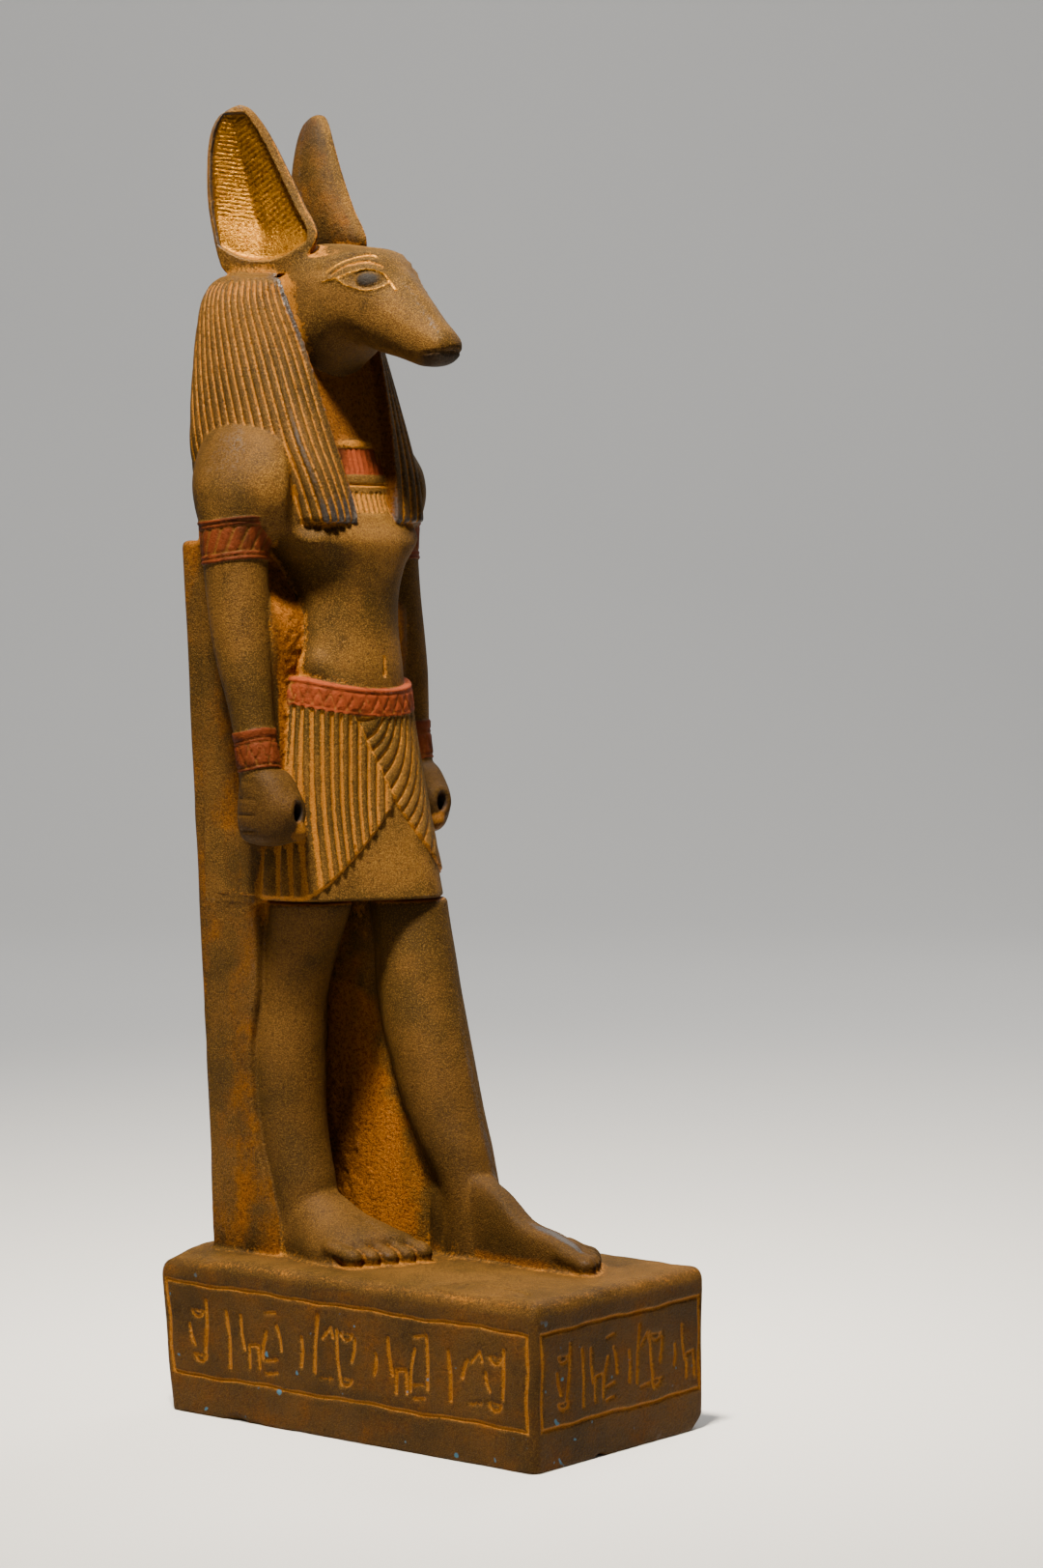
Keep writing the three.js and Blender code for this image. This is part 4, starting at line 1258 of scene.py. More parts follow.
@dataclass
class Fist(Form):
    """A closed hand with a round grip hole in front and the thumb's end below it."""

    side: int
    table: Table
    middle: float = 26.0
    grip: Point = (25.4, 19.2, 139.3)
    thumb: Point = (24.4, 20.9, 134.9)
    thumb_radii: Point = (2.2, 2.9, 2.3)
    fillet: float = 0.7

    def __post_init__(self) -> None:
        """Works out the box."""
        left, right = span(self.side, 19.5, 32.5)
        self.low, self.high = (left, 16.5, 131.0), (right, 36.0, 150.0)

    def ball(self, cloud: Cloud, centre: Point, radii: Point) -> Array:
        """Distance from an ellipsoid on this hand."""
        shares = scaled(cloud, self.side, centre, radii)
        return (np.sqrt(sum(share**2 for share in shares)) - 1) * min(radii)

    def distance(self, cloud: Cloud) -> Array:
        """Distance from the hand.

        Args:
            cloud: The points.

        Returns:
            The distance of each point, negative inside.
        """
        row = self.table.read(cloud.z)
        dx, dy = self.side * cloud.x - self.middle, cloud.y - row.y
        block = squircle(dx, dy, row.wide / 2, row.deep / 2, 2.5)
        block = soft_max(block, np.maximum(131.4 - cloud.z, cloud.z - 149), 2.6)
        ring = np.hypot(self.side * cloud.x - self.grip[0], (cloud.z - self.grip[2]) * 0.8)
        rim = 0.45 * line(ring - 2.7, 0.9) * (dy < 0)
        fingers = 0.28 * line(((cloud.z - 133.2) % 3.6) - 1.8, 0.35) * ease((dy + 2) / 3) * ease((dx - 3) / 2)
        hand = soft_min(block - rim + fingers, self.ball(cloud, self.thumb, self.thumb_radii), 0.8)
        return soft_max(hand, -self.ball(cloud, self.grip, (1.5, 6.0, 2.1)), 0.5)

    def marks(self, cloud: Cloud) -> dict[Mark, Array]:
        """The hole is dark with painted shade, the hand darker all over, and the thumb's end dusty.

        Args:
            cloud: The points.

        Returns:
            Each mark's share at every point.
        """
        # painted shade in the grip hole
        hole = self.ball(cloud, self.grip, (1.9, 6.0, 2.5))
        thumb = ease(1.2 - self.ball(cloud, self.thumb, self.thumb_radii) * 2) * (cloud.y < 20.5)
        return {
            Mark.DARK: ease(-hole * 2), Mark.DIM: np.full_like(cloud.x, 0.62), Mark.RECESS: 0.8 * thumb,
        }


# Collar and wig


@dataclass
class Collar(Form):
    """The broad collar between the lappets: a strap, then rows of upright bars between plain bands."""

    low: Point = (-12.0, 16.0, 204.5)
    high: Point = (12.0, 30.0, 223.4)
    foot: float = 204.8
    head: float = 223.2
    bar: float = 1.75
    fillet: float = 0.4

    def __post_init__(self) -> None:
        """Draws the collar on a sheet of width and height."""
        self.sheet = Sheet((-12.5, 203.0), (12.5, 225.0), 0.12)
        x, z = self.sheet.u, self.sheet.v
        bars = 0.5 - 0.5 * np.cos(2 * math.pi * x / self.bar)
        upper, lower = between(z, 215.6, 221.3), between(z, 206.5, 211.3)
        lift = 0.55 + 0.5 * between(z, 221.6, 223.4)
        lift = lift + upper * (0.5 * bars**0.7 - 0.2) + lower * (0.62 * bars**0.7 - 0.3)
        lift = lift + 0.45 * between(z, 213.4, 215.4) + 0.25 * between(z, 211.5, 212.9)
        lift = lift + 0.55 * between(z, 204.6, 206.4)
        self.sheet.put("lift", lift)
        self.sheet.put("red", between(z, 215.5, 221.5))
        gold = lower * (0.2 + 0.7 * (1 - bars)) + upper * 0.25 * (1 - bars)
        gold = gold + between(z, 212.6, 213.6) + 0.7 * between(z, 221.4, 224)
        self.sheet.put("recess", np.clip(gold, 0, 1))

    def distance(self, cloud: Cloud) -> Array:
        """Distance from the collar.

        Args:
            cloud: The points.

        Returns:
            The distance of each point, negative inside.
        """
        skin = 18.9 + (cloud.z - self.foot) * 0.34 + cloud.x**2 * 0.012
        (lift,) = self.sheet.read(cloud.x, cloud.z, "lift")
        face = (skin - lift - cloud.y) * 0.94
        ends = np.maximum(np.maximum(self.foot - cloud.z, cloud.z - self.head), np.abs(cloud.x) - 11)
        return soft_max(np.maximum(face, cloud.y - skin - 4), ends, 0.7)

    def marks(self, cloud: Cloud) -> dict[Mark, Array]:
        """Red on the upper row of bars and gold dust in the lower one."""
        red, recess = self.sheet.read(cloud.x, cloud.z, "red", "recess")
        return {Mark.RED: red, Mark.RECESS: recess}


class Outlines:
    """A stack of plan outlines, read as distance and as the share of the way round."""

    def __init__(
        self, outline: Callable[[float], Array], low: Point, high: Point, pitch: float, rise: float,
    ) -> None:
        """Measures every level of the stack.

        Args:
            outline: Gives a level's outline, its first two points being inside the mouth of the form.
            low: The lowest corner of the stack.
            high: The highest corner.
            pitch: The step across a level.
            rise: The step between levels.
        """
        self.low, self.pitch, self.rise = low, pitch, rise
        across = np.arange(low[0], high[0], pitch)
        deep = np.arange(low[1], high[1], pitch)
        levels = np.arange(low[2], high[2] + rise, rise)
        self.shape = (len(levels), len(across), len(deep))
        x, y = (a.ravel() for a in np.meshgrid(across, deep, indexing="ij"))
        self.gap, self.share = (np.empty((len(levels), len(x)), np.float32) for _ in range(2))
        for k, z in enumerate(levels):
            self.gap[k], self.share[k] = self.level(outline(float(z)), x, y)
        self.gap, self.share = self.gap.ravel(), self.share.ravel()

    @staticmethod
    def level(points: Array, x: Array, y: Array) -> tuple[Array, Array]:
        """Distance and share at every place of one level.

        Args:
            points: The outline.
            x: The x of every place.
            y: The y of every place.

        Returns:
            The distance, negative inside, and the share of the way round.
        """
        best, share = np.full(len(x), FAR), np.zeros(len(x))
        inside = np.zeros(len(x), bool)
        lengths = np.hypot(*np.diff(points, axis=0).T)
        outer = np.concatenate([[0, 0], np.cumsum(lengths[2:])]) / lengths[2:].sum()
        for k in range(len(points) - 1):
            (x0, y0), (x1, y1) = points[k], points[k + 1]
            dx, dy = x1 - x0, y1 - y0
            t = np.clip(((x - x0) * dx + (y - y0) * dy) / (dx * dx + dy * dy + 1e-9), 0, 1)
            gap = np.hypot(x - x0 - t * dx, y - y0 - t * dy)
            nearer = gap < best
            best = np.where(nearer, gap, best)
            start = outer[k - 1] if k >= 2 else 0.0
            share = np.where(nearer, start + t * (outer[k] - start if k >= 2 else 0.0), share)
            crosses = ((y0 > y) != (y1 > y)) & (x < dx * (y - y0) / (dy if abs(dy) > 1e-9 else 1e-9) + x0)
            inside ^= crosses
        return np.where(inside, -best, best), share

    def read(self, x: Array, y: Array, z: Array) -> tuple[Array, Array]:
        """Distance and share at each point.

        Args:
            x: Their x.
            y: Their y.
            z: Their z.

        Returns:
            The two values.
        """
        levels, rows, columns = self.shape
        a = np.clip((z - self.low[2]) / self.rise, 0, levels - 1.01)
        b = np.clip((x - self.low[0]) / self.pitch, 0, rows - 1.01)
        c = np.clip((y - self.low[1]) / self.pitch, 0, columns - 1.01)
        i, j, k = (v.astype(np.int32) for v in (a, b, c))
        a, b, c = ((v - w).astype(np.float32) for v, w in ((a, i), (b, j), (c, k)))
        at = (i * rows + j) * columns + k
        found = []
        for grid in (self.gap, self.share):
            flats = []
            for level in (at, at + rows * columns):
                near = grid[level] * (1 - c) + grid[level + 1] * c
                far = grid[level + columns] * (1 - c) + grid[level + columns + 1] * c
                flats.append(near * (1 - b) + far * b)
            found.append(flats[0] * (1 - a) + flats[1] * a)
        return found[0], found[1]


@dataclass
class Wig(Form):
    """The heavy striated wig, with its two lappets over the chest."""

    lappet: Table
    mane: Table
    low: Point = (-25.0, 15.0, 198.0)
    high: Point = (25.0, 57.5, 262.5)
    hem: float = 204.6
    top: float = 261.9
    strands: int = 29
    groove: float = 0.62
    corner: float = 5.5
    fillet: float = 0.7

    def __post_init__(self) -> None:
        """Measures the outlines."""
        self.outlines = Outlines(self.outline, (0.0, 12.0, 197.0), (28.0, 60.0, 263.0), 0.4, 0.75)

    def outline(self, z: float) -> Array:
        """The half outline at a height, from the throat round to the middle of the back.

        Args:
            z: The height.

        Returns:
            Its points.
        """
        place = np.array([z])
        lap, mane = self.lappet.read(place), self.mane.read(place)
        inner_x, inner_y, outer_x, outer_y = (
            float(v[0]) for v in (lap.innerX, lap.innerY, lap.outerX, lap.outerY))
        inner, outer = (inner_x, inner_y), (outer_x, outer_y)
        half, front, back = (float(v[0]) for v in (mane.half, mane.front, mane.back))
        corner = self.corner
        marks = np.array([
            inner, outer, (half - 0.6, front), (half, back - corner * 1.5),
            (half - corner * 0.3, back - corner * 0.3), (half - corner * 1.5, back), (0.0, back),
        ])
        spread = np.concatenate([[2 * marks[0] - marks[1]], marks, [2 * marks[-1] - marks[-2]]])
        curve = []
        for a, b, c, d in zip(spread, spread[1:], spread[2:], spread[3:]):
            for t in np.arange(8) / 8:
                start, stop = 0.35 * (c - a), 0.35 * (d - b)
                curve.append(
                    b * (1 + 2 * t) * (1 - t) ** 2 + c * t * t * (3 - 2 * t)
                    + start * t * (1 - t) ** 2 - stop * t * t * (1 - t))
        behind = inner[1] + 3.4
        return np.array([(-1.0, behind + 0.6), (inner[0] - 0.2, behind), *curve, marks[-1], (-1.0, back)])

    def distance(self, cloud: Cloud) -> Array:
        """Distance from the wig, its strands cut between round ridges.

        Args:
            cloud: The points.

        Returns:
            The distance of each point, negative inside.
        """
        gap, share = self.outlines.read(np.abs(cloud.x), cloud.y, cloud.z)
        if cloud.high[2] > 236:
            steep = 1 + 1.6 * ease((cloud.z - 254) / 7)
            gap = gap / steep
        hem = self.hem - 6 * ease((share - 0.3) / 0.3)
        gap = gap + self.cut(cloud, share) * self.groove
        return soft_max(gap, np.maximum(hem - cloud.z, cloud.z - self.top), 1.1)

    def cut(self, cloud: Cloud, share: Array) -> Array:
        """How deep between two strands a point lies, from 0 on a ridge to 1 in a groove.

        Args:
            cloud: The points.
            share: How far round the wig they lie.

        Returns:
            The depth.
        """
        sway = 0.0025 * np.sin(cloud.z * 0.16 + 9 * share)
        ridge = np.abs(np.sin(math.pi * self.strands * (share + sway)))
        fade = ease((self.top - 1.0 - cloud.z) / 3.5) * ease(share * self.strands * 3)
        return (1 - ridge) ** 1.6 * fade

    def marks(self, cloud: Cloud) -> dict[Mark, Array]:
        """Dust between the strands.

        Args:
            cloud: The points.

        Returns:
            Each mark's share at every point.
        """
        _, share = self.outlines.read(np.abs(cloud.x), cloud.y, cloud.z)
        end = ease((self.hem + 11 - cloud.z) / 9) * ease((0.2 - share) / 0.05)
        edge = ease((0.22 - share) / 0.08) * ease((share - 0.1) / 0.06) * ease((250 - cloud.z) / 30)
        cut = self.cut(cloud, share)
        inner = ease((0.02 - share) / 0.02)
        rub = np.maximum(end * np.where(cloud.x > 0, 0.4, 0.9), 0.6 * edge) * (1 - cut)
        return {
            Mark.RECESS: cut, Mark.RUB: rub, Mark.ROUGH: 0.8 * inner, Mark.CLEAN: 0.8 * (1 - cut),
            Mark.DIM: 0.42 * (1 - cut),
        }


@dataclass
class Throat(Form):
    """The neck between the lappets."""

    lappet: Table
    low: Point = (-14.0, 22.0, 215.0)
    high: Point = (14.0, 50.0, 250.0)
    fillet: float = 1.6

    def distance(self, cloud: Cloud) -> Array:
        """Distance from the neck.

        Args:
            cloud: The points.

        Returns:
            The distance of each point, negative inside.
        """
        row = self.lappet.read(cloud.z)
        front = row.innerY + 3.9
        column = oval(cloud.x, cloud.y - 42, np.float32(15.0), 42 - front)
        return np.maximum(column, np.maximum(214 - cloud.z, cloud.z - 252))


# Head and ears


@dataclass
class Head(Form):
    """The jackal's head, with its long muzzle, brows and outlined eyes."""

    table: Table
    low: Point = (-14.0, -6.0, 235.0)
    high: Point = (14.0, 48.0, 269.0)
    fillet: float = 1.2
    upper_lid: tuple = (
        (23.4, 258.9), (19.7, 259.7), (15.9, 261.1), (12.8, 261.5), (10.4, 260.5), (9, 258.8), (7, 256.6))
    lower_lid: tuple = ((19.7, 259.3), (17.2, 257.9), (13.4, 256.8), (10.6, 257.1), (9.0, 258.4))
    crease: tuple = ((21.6, 260.4), (18.5, 262.4), (14.1, 263.2), (11.0, 262.1), (9.0, 260.2))
    gold_brow: tuple = ((23.2, 261), (19.9, 263.3), (16, 264.6), (13.3, 264.6), (10.6, 263), (8.6, 260.6))
    brow: tuple = ((25, 263), (21.6, 264.8), (17.5, 265.8), (13.6, 265.7), (10.8, 264.2), (9, 261.6))
    pupil: tuple[float, float] = (12.9, 259.25)

    def __post_init__(self) -> None:
        """Draws the eye on a sheet of depth and height."""
        self.sheet = Sheet((-2.0, 250.0), (31.0, 270.0), 0.1)
        upper, lower, crease, gold, brow = (
            self.sheet.along(smooth_line(points))
            for points in (self.upper_lid, self.lower_lid, self.crease, self.gold_brow, self.brow)
        )
        ball = np.hypot((self.sheet.u - self.pupil[0]) / 2.6, (self.sheet.v - self.pupil[1]) / 1.75)
        inside = ease((1 - ball) * 3)
        lift = 0.5 * line(brow, 0.75) - 0.32 * line(gold, 0.5) + 0.28 * line(crease - 0.75, 0.4)
        lift = lift - 0.25 * line(crease, 0.28) + 0.34 * line(upper, 0.34) + 0.3 * line(lower, 0.3)
        lift = lift - 0.3 * ease((1.35 - ball) * 4) + 0.62 * np.sqrt(np.maximum(0, 1 - ball**2))
        self.sheet.put("lift", lift)
        gilt = 0.8 * line(gold, 0.32)
        for drawn, share in ((upper, 0.75), (lower, 0.66), (crease, 0.64)):
            gilt = np.maximum(gilt, share * line(drawn, 0.26))
        self.sheet.put("gilt", gilt * (1 - inside))
        self.sheet.put("dark", inside)
        self.sheet.put("recess", 0.6 * line(crease, 0.5) * (1 - inside))

    def distance(self, cloud: Cloud) -> Array:
        """Distance from the head.

        Args:
            cloud: The points.

        Returns:
            The distance of each point, negative inside.
        """
        row = self.table.read(-cloud.y)
        middle = mix(row.low, row.high, 0.46)
        rise = cloud.z - middle
        tall = np.where(rise > 0, row.high - middle, middle - row.low)
        power = 2.4 - 0.6 * ease((14 - cloud.y) / 6) * ease(rise / 3)
        skull = squircle(cloud.x, rise, row.half, tall, power)
        if cloud.low[1] < 31 and cloud.high[2] > 250:
            (lift,) = self.sheet.read(cloud.y, cloud.z, "lift")
            skull = skull - lift * ease((np.abs(cloud.x) - 4.0) / 2.0)
        front = -cloud.y * 0.9 - (cloud.z - 244.6) * 0.34 * (cloud.z < 244.6) - 5.0
        mouth = 0.3 * line((cloud.z - 242.4 + cloud.y * 0.1), 0.4) * ease((2 - cloud.y) / 4)
        skull = soft_max(skull, front * 0.95, 1.6) + mouth
        return soft_max(skull, cloud.y - 46.5, 1.0)

    def marks(self, cloud: Cloud) -> dict[Mark, Array]:
        """Gold lines round a dark eye, painted shade on the muzzle's front and low on the head, and a painted
        highlight on the bridge.

        Args:
            cloud: The points.

        Returns:
            Each mark's share at every point.
        """
        gilt, dark, recess = self.sheet.read(cloud.y, cloud.z, "gilt", "dark", "recess")
        beside = ease((np.abs(cloud.x) - 4.5) / 1.0)
        # painted shade on the blunt front under the nose
        muzzle_shade_top = 243.4 - np.maximum(cloud.y + 1.0, 0) * 0.9
        muzzle_shade = ease((muzzle_shade_top - cloud.z) / 1.4) * ease((3.0 - cloud.y) / 2.0)
        row = self.table.read(-cloud.y)
        # a rubbed edge along the bridge that carries a painted highlight
        bridge = line(np.abs(cloud.x) - 2.9, 1.8) * ease((12 - cloud.y) / 4)
        bridge = bridge * ease((cloud.z - row.high + 3.4) / 1.6)
        return {
            Mark.GILT: gilt * beside, Mark.DARK: np.maximum(dark * beside, muzzle_shade * 0.8),
            Mark.RECESS: recess * beside, Mark.RUB: 0.42 * bridge,
            # painted shade, darker below the top of the head
            Mark.DIM: 0.12 + 0.2 * ease((row.high - 6 - cloud.z) / 6),
        }


@dataclass
class Ear(Form):
    """An upright pointed ear, turned half forward, with a gilt ribbed hollow."""

    side: int
    table: Table
    tip: tuple[float, float] = (14.0, 48.0)
    turn: float = math.radians(63)
    foot: float = 260.6
    height: float = 300.0
    rim: float = 2.3
    rear_rim: float = 1.0
    ribs: float = 1.25
    fillet: float = 1.6

    def __post_init__(self) -> None:
        """Works out the box."""
        left, right = span(self.side, 3.0, 26.0)
        self.low, self.high = (left, 26.0, self.foot - 1), (right, 57.0, self.height)

    def place(self, cloud: Cloud) -> SimpleNamespace:
        """A point's place along the opening, out of it and up, with the ear's edges there.

        Args:
            cloud: The points.

        Returns:
            The places and edges.
        """
        sine, cosine = math.sin(self.turn), math.cos(self.turn)
        x, y = self.side * cloud.x - self.tip[0], cloud.y - self.tip[1]
        row = self.table.read(cloud.z)
        row.along = x * cosine + y * sine
        row.forward = (row.rear - row.along) / (row.rear - row.front)
        row.out = x * sine - y * cosine - row.bend * np.clip(row.forward, -0.3, 1.3)
        return row

    def hollow(self, row: SimpleNamespace, z: Array) -> tuple[Array, Array]:
        """Depth of the hollow at each place, and how far inside its rim it lies.

        Args:
            row: Their places in the ear.
            z: Their heights.

        Returns:
            The depth and the distance inside the rim.
        """
        front, rear = row.front + self.rim, row.rear - self.rear_rim
        low = self.foot + 3.6 + 0.034 * (row.along + 6.6) ** 2
        inside = np.minimum(np.minimum(row.along - front, rear - row.along) * 0.96, (z - low) * 0.85)
        inside = np.minimum(inside, (self.height - 2.0 - z) * 0.8)
        fold = mix(front, rear, 0.56)
        before = row.along < fold
        valley = 1 - np.abs(row.along - fold) / np.maximum(np.where(before, fold - front, rear - fold), 0.5)
        floor = (0.9 + 2.9 * np.clip(valley, 0, 1)) * ease((self.height - 1 - z) / 22) ** 0.6
        floor = floor * (0.55 + 0.45 * ease((z - low) / 9))
        slope = np.where(before, 0.55, -0.12)
        pitch = np.where(before, self.ribs, 0.8 * self.ribs)
        waver = 0.08 * np.sin(1.3 * z + 0.9 * row.along)
        comb = 1 - 2 * np.abs(np.cos(math.pi * (z + waver + slope * (row.along - fold)) / pitch)) ** 2
        comb = comb * ease((z - self.foot - 9.5 - 0.2 * row.along) / 5) * ease(inside / 0.8)
        return soft_min(inside * 2.4, floor, 0.9) - 0.13 * comb, inside

    def distance(self, cloud: Cloud) -> Array:
        """Distance from the ear.

        Args:
            cloud: The points.

        Returns:
            The distance of each point, negative inside.
        """
        row = self.place(cloud)
        middle, half = (row.front + row.rear) / 2, np.maximum((row.rear - row.front) / 2, 0.5)
        deep = np.where(row.out > 0, 0.75, row.deep)
        shell = squircle(row.along - middle, row.out, half, deep, 2.6)
        depth, inside = self.hollow(row, cloud.z)
        shell = shell - 0.12 * line(inside + 0.3, 0.4) * (row.out > -0.5)
        cut = (row.out + depth) * 0.9
        ear = np.where(inside > -1.0, soft_max(shell, np.where(inside > 0, cut, -FAR), 0.3), shell)
        return soft_max(ear, np.maximum(self.foot - cloud.z, cloud.z - self.height), 0.8)

    def marks(self, cloud: Cloud) -> dict[Mark, Array]:
        """Gold leaf in the hollow.

        Args:
            cloud: The points.

        Returns:
            Each mark's share at every point.
        """
        row = self.place(cloud)
        depth, inside = self.hollow(row, cloud.z)
        on_floor = ease(1.5 - np.abs(row.out + depth) / 0.7)
        edge = ease((1.3 - np.abs(inside + 0.9)) / 0.8) * (row.out > -1.2)
        behind = ease((-1.2 - row.out) / 1.5)
        crest = line(row.along - (row.front + row.rear) / 2, 1.3) * behind
        tip = ease((cloud.z - 288) / 9) * behind
        return {
            Mark.GILT: ease(inside * 1.6 + 0.1) * on_floor, Mark.RUB: np.maximum(0.2 * edge, 0.55 * crest),
            Mark.ROUGH: 0.42 * behind, Mark.DARK: 0.5 * tip, Mark.DIM: 0.45 * behind,
        }


# The whole stone


def measured() -> SimpleNamespace:
    """The measured sections of the figure, lowest or rearmost first.

    Returns:
        A table for each part of the body.
    """
    return SimpleNamespace(
        right_leg=Table("z x y wide deep", [
            (36, -10.8, 30.8, 15.4, 17), (46, -10.8, 30.4, 15.4, 16), (54, -10.7, 31.4, 16, 16.2),
            (58, -10.7, 32.7, 16.4, 16.6), (64, -10.6, 34.2, 16.9, 17), (70, -10.6, 35, 17.2, 17.2),
            (76, -10.6, 35.3, 17.5, 17.5), (82, -10.6, 35.4, 17.8, 17.8), (88, -10.5, 35.1, 17.6, 17.6),
            (94, -10.5, 34.7, 17.1, 17.1), (100, -10.5, 33.7, 17.1, 17.1), (106, -10.5, 32, 17.8, 17.8),
            (112, -10.5, 30.3, 18.6, 18.6), (117, -10.5, 28.9, 19.4, 19.5), (124, -10.5, 28.3, 19.6, 19.8)]),
        left_leg=Table("z x y wide deep", [
            (36, 9.8, -4.2, 14.4, 18.5), (46, 10, -3.6, 13.6, 14.4), (50, 10, -2.7, 13.6, 13.8),
            (54, 10.1, -1.3, 14.2, 14.2), (58, 10.2, 0.6, 15.4, 15.6), (62, 10.2, 2.4, 16.6, 16.9),
            (66, 10.3, 4.3, 17.5, 17.7), (70, 10.4, 6, 18.2, 18.4), (74, 10.4, 7.3, 18.7, 18.8),
            (79, 10.4, 8.8, 19.1, 19.2), (86, 10.4, 10.9, 19.6, 19.7), (92, 10.4, 12.4, 19.7, 19.7),
            (97, 10.4, 13.5, 19.5, 19.5), (102, 10.4, 14.2, 19, 19), (107, 10.5, 15.1, 18.6, 18.6),
            (112, 10.5, 16.1, 18.4, 18.4), (117, 10.5, 16.9, 18.2, 18.2), (124, 10.5, 17.6, 18.2, 18.2)]),
        right_foot=Table("s high", [
            (-40, 16), (-30, 17), (-22, 14), (-15, 10.2), (-8, 8.1), (-3, 6.4), (0, 5.2), (4, 3.8)]),
        left_foot=Table("s high", [
            (-6, 16), (4, 19), (14.4, 15.8), (22.8, 9.8), (31, 7.6), (37, 5.4), (43.2, 3.4)]),
        kilt=Table("z half y deep push", [
            (HEM, 21.6, 30.5, 16.6, 8.5), (126, 21, 30.2, 15.6, 7.4), (141, 19.5, 29.5, 13.6, 5),
            (156, 17.8, 28.5, 12.9, 2.2), (170, 16.4, 27.3, 12.2, 0)]),
        torso=Table("z half y deep square", [
            (158, 16.6, 27.6, 12.4, 1), (166, 15.2, 26.6, 11.6, 1), (172, 14.3, 26.2, 11.1, 1),
            (179, 13.5, 26.6, 10.7, 1), (185, 13.2, 27.1, 11.0, 0.96), (189, 13.3, 27.4, 11.6, 0.92),
            (192.5, 13.8, 27.6, 12.2, 0.86), (195.5, 15, 27.8, 12.5, 0.8), (198, 17.2, 28, 12.8, 0.74),
            (200.5, 19.3, 28.4, 12.9, 0.7), (204, 20.6, 29.2, 11.9, 0.68), (208, 20.9, 30.6, 10.7, 0.68),
            (212, 21, 33, 9.4, 0.7), (222, 16, 38, 7, 1)]),
        wall_front=Table("z y", [
            (36, 30.6), (40, 30.6), (46, 31.3), (50, 32.5), (55, 33.7), (61, 35.6), (68, 36.7), (74, 37.4),
            (84, 37.7), (90, 36.9), (96, 35.8), (104, 35.5), (117, 35.3), (134, 34.5)]),
        web_front=Table("z y", [
            (118, 34.5), (130, 33), (138, 30), (150, 28.8), (160, 28.6), (168, 28.8), (173, 28.4),
            (179, 28), (184, 28.8), (189, 32), (196, 36.4), (201, 38.6), (206, 40)]),
        arm=Table("z x y wide deep", [
            (141, 26.6, 28.4, 9.4, 9.4), (148, 26.9, 29.3, 9.4, 9.4), (156, 27.2, 30.6, 9.4, 9.4),
            (163, 27.5, 31.6, 10.2, 10.2), (170, 27.6, 33, 11.8, 11.8), (178, 27.2, 34.6, 13.4, 13.4),
            (187, 26.8, 36, 14.2, 14.2), (196, 26.5, 37, 14.9, 14.9), (203, 25.9, 37.4, 15.8, 16.8),
            (208, 25.3, 37.6, 17.4, 20.6), (213, 24.2, 37.9, 18.4, 23.6), (218, 22.8, 38.3, 16.4, 25),
            (224, 21.2, 39.4, 12, 20.6), (227.6, 20.6, 40.6, 5, 9)]),
        hand=Table("z y wide deep", [
            (131.4, 27.6, 5.4, 8), (132.6, 27.4, 8.6, 12.4), (136, 27, 11.2, 15.2),
            (140.5, 26.8, 11.9, 15.6), (145, 27.6, 11.2, 13), (149, 28.9, 9.8, 9.8)]),
        head=Table("s high low half", [
            (-47, 261.5, 244, 9), (-42, 265.2, 240, 12), (-34, 268.2, 236, 13.4), (-27, 268.2, 240, 13),
            (-20, 267.3, 244.6, 11.6), (-14, 266.3, 243, 10.2), (-11.5, 264.5, 242.3, 9.4),
            (-9.5, 262, 241.8, 8.6), (-7, 259.7, 241, 7.7), (-5, 257.5, 240.3, 6.9), (-3, 255.4, 239.7, 6.1),
            (1, 250.8, 239.6, 5.1), (4, 247.7, 240.6, 4.4), (5.4, 245.4, 242.2, 2.4)]),
        lappet=Table("z innerX innerY outerX outerY", [
            (196, 6.6, 17, 15.8, 17.6), (204.6, 6.8, 17, 16.7, 17.4), (214, 8.4, 18.8, 18, 19.6),
            (223, 10, 21, 19.2, 23.4), (234, 11.6, 24.2, 19.4, 27.6), (245, 13, 27.6, 18.8, 31.4),
            (255, 14.6, 31, 18, 34.6), (260, 14, 33.5, 16, 36.4), (261.8, 10, 38, 11, 40)]),
        mane=Table("z half front back", [
            (196, 21.5, 34, 56.2), (204.6, 21.5, 32, 56.4), (214, 22.8, 33, 56.5), (223, 24.4, 35, 56.3),
            (234, 24.3, 38, 56), (245, 23.6, 41, 55.5), (254, 22.6, 43, 54.6), (258.5, 21, 44, 53.4),
            (261, 18, 45, 51.6), (261.8, 14, 46, 50)]),
        ear=Table("z front rear deep bend", [
            (260.6, -8, -1, 2, 2), (262, -14.5, 2.6, 4.2, 3.5), (265, -17.8, 4.2, 5.4, 4.4),
            (270, -20.2, 5.4, 6.4, 4.2), (277, -16.6, 6.6, 6.8, 2.6), (285, -12.5, 6.9, 6.2, 1.4),
            (293, -8.2, 6.2, 4.6, 0.8), (297.6, -5, 4, 3.2, 0.8), (299.4, -3, 1, 1.8, 0.6),
            (300, -1.4, -0.6, 0.8, 0.4)]),
    )


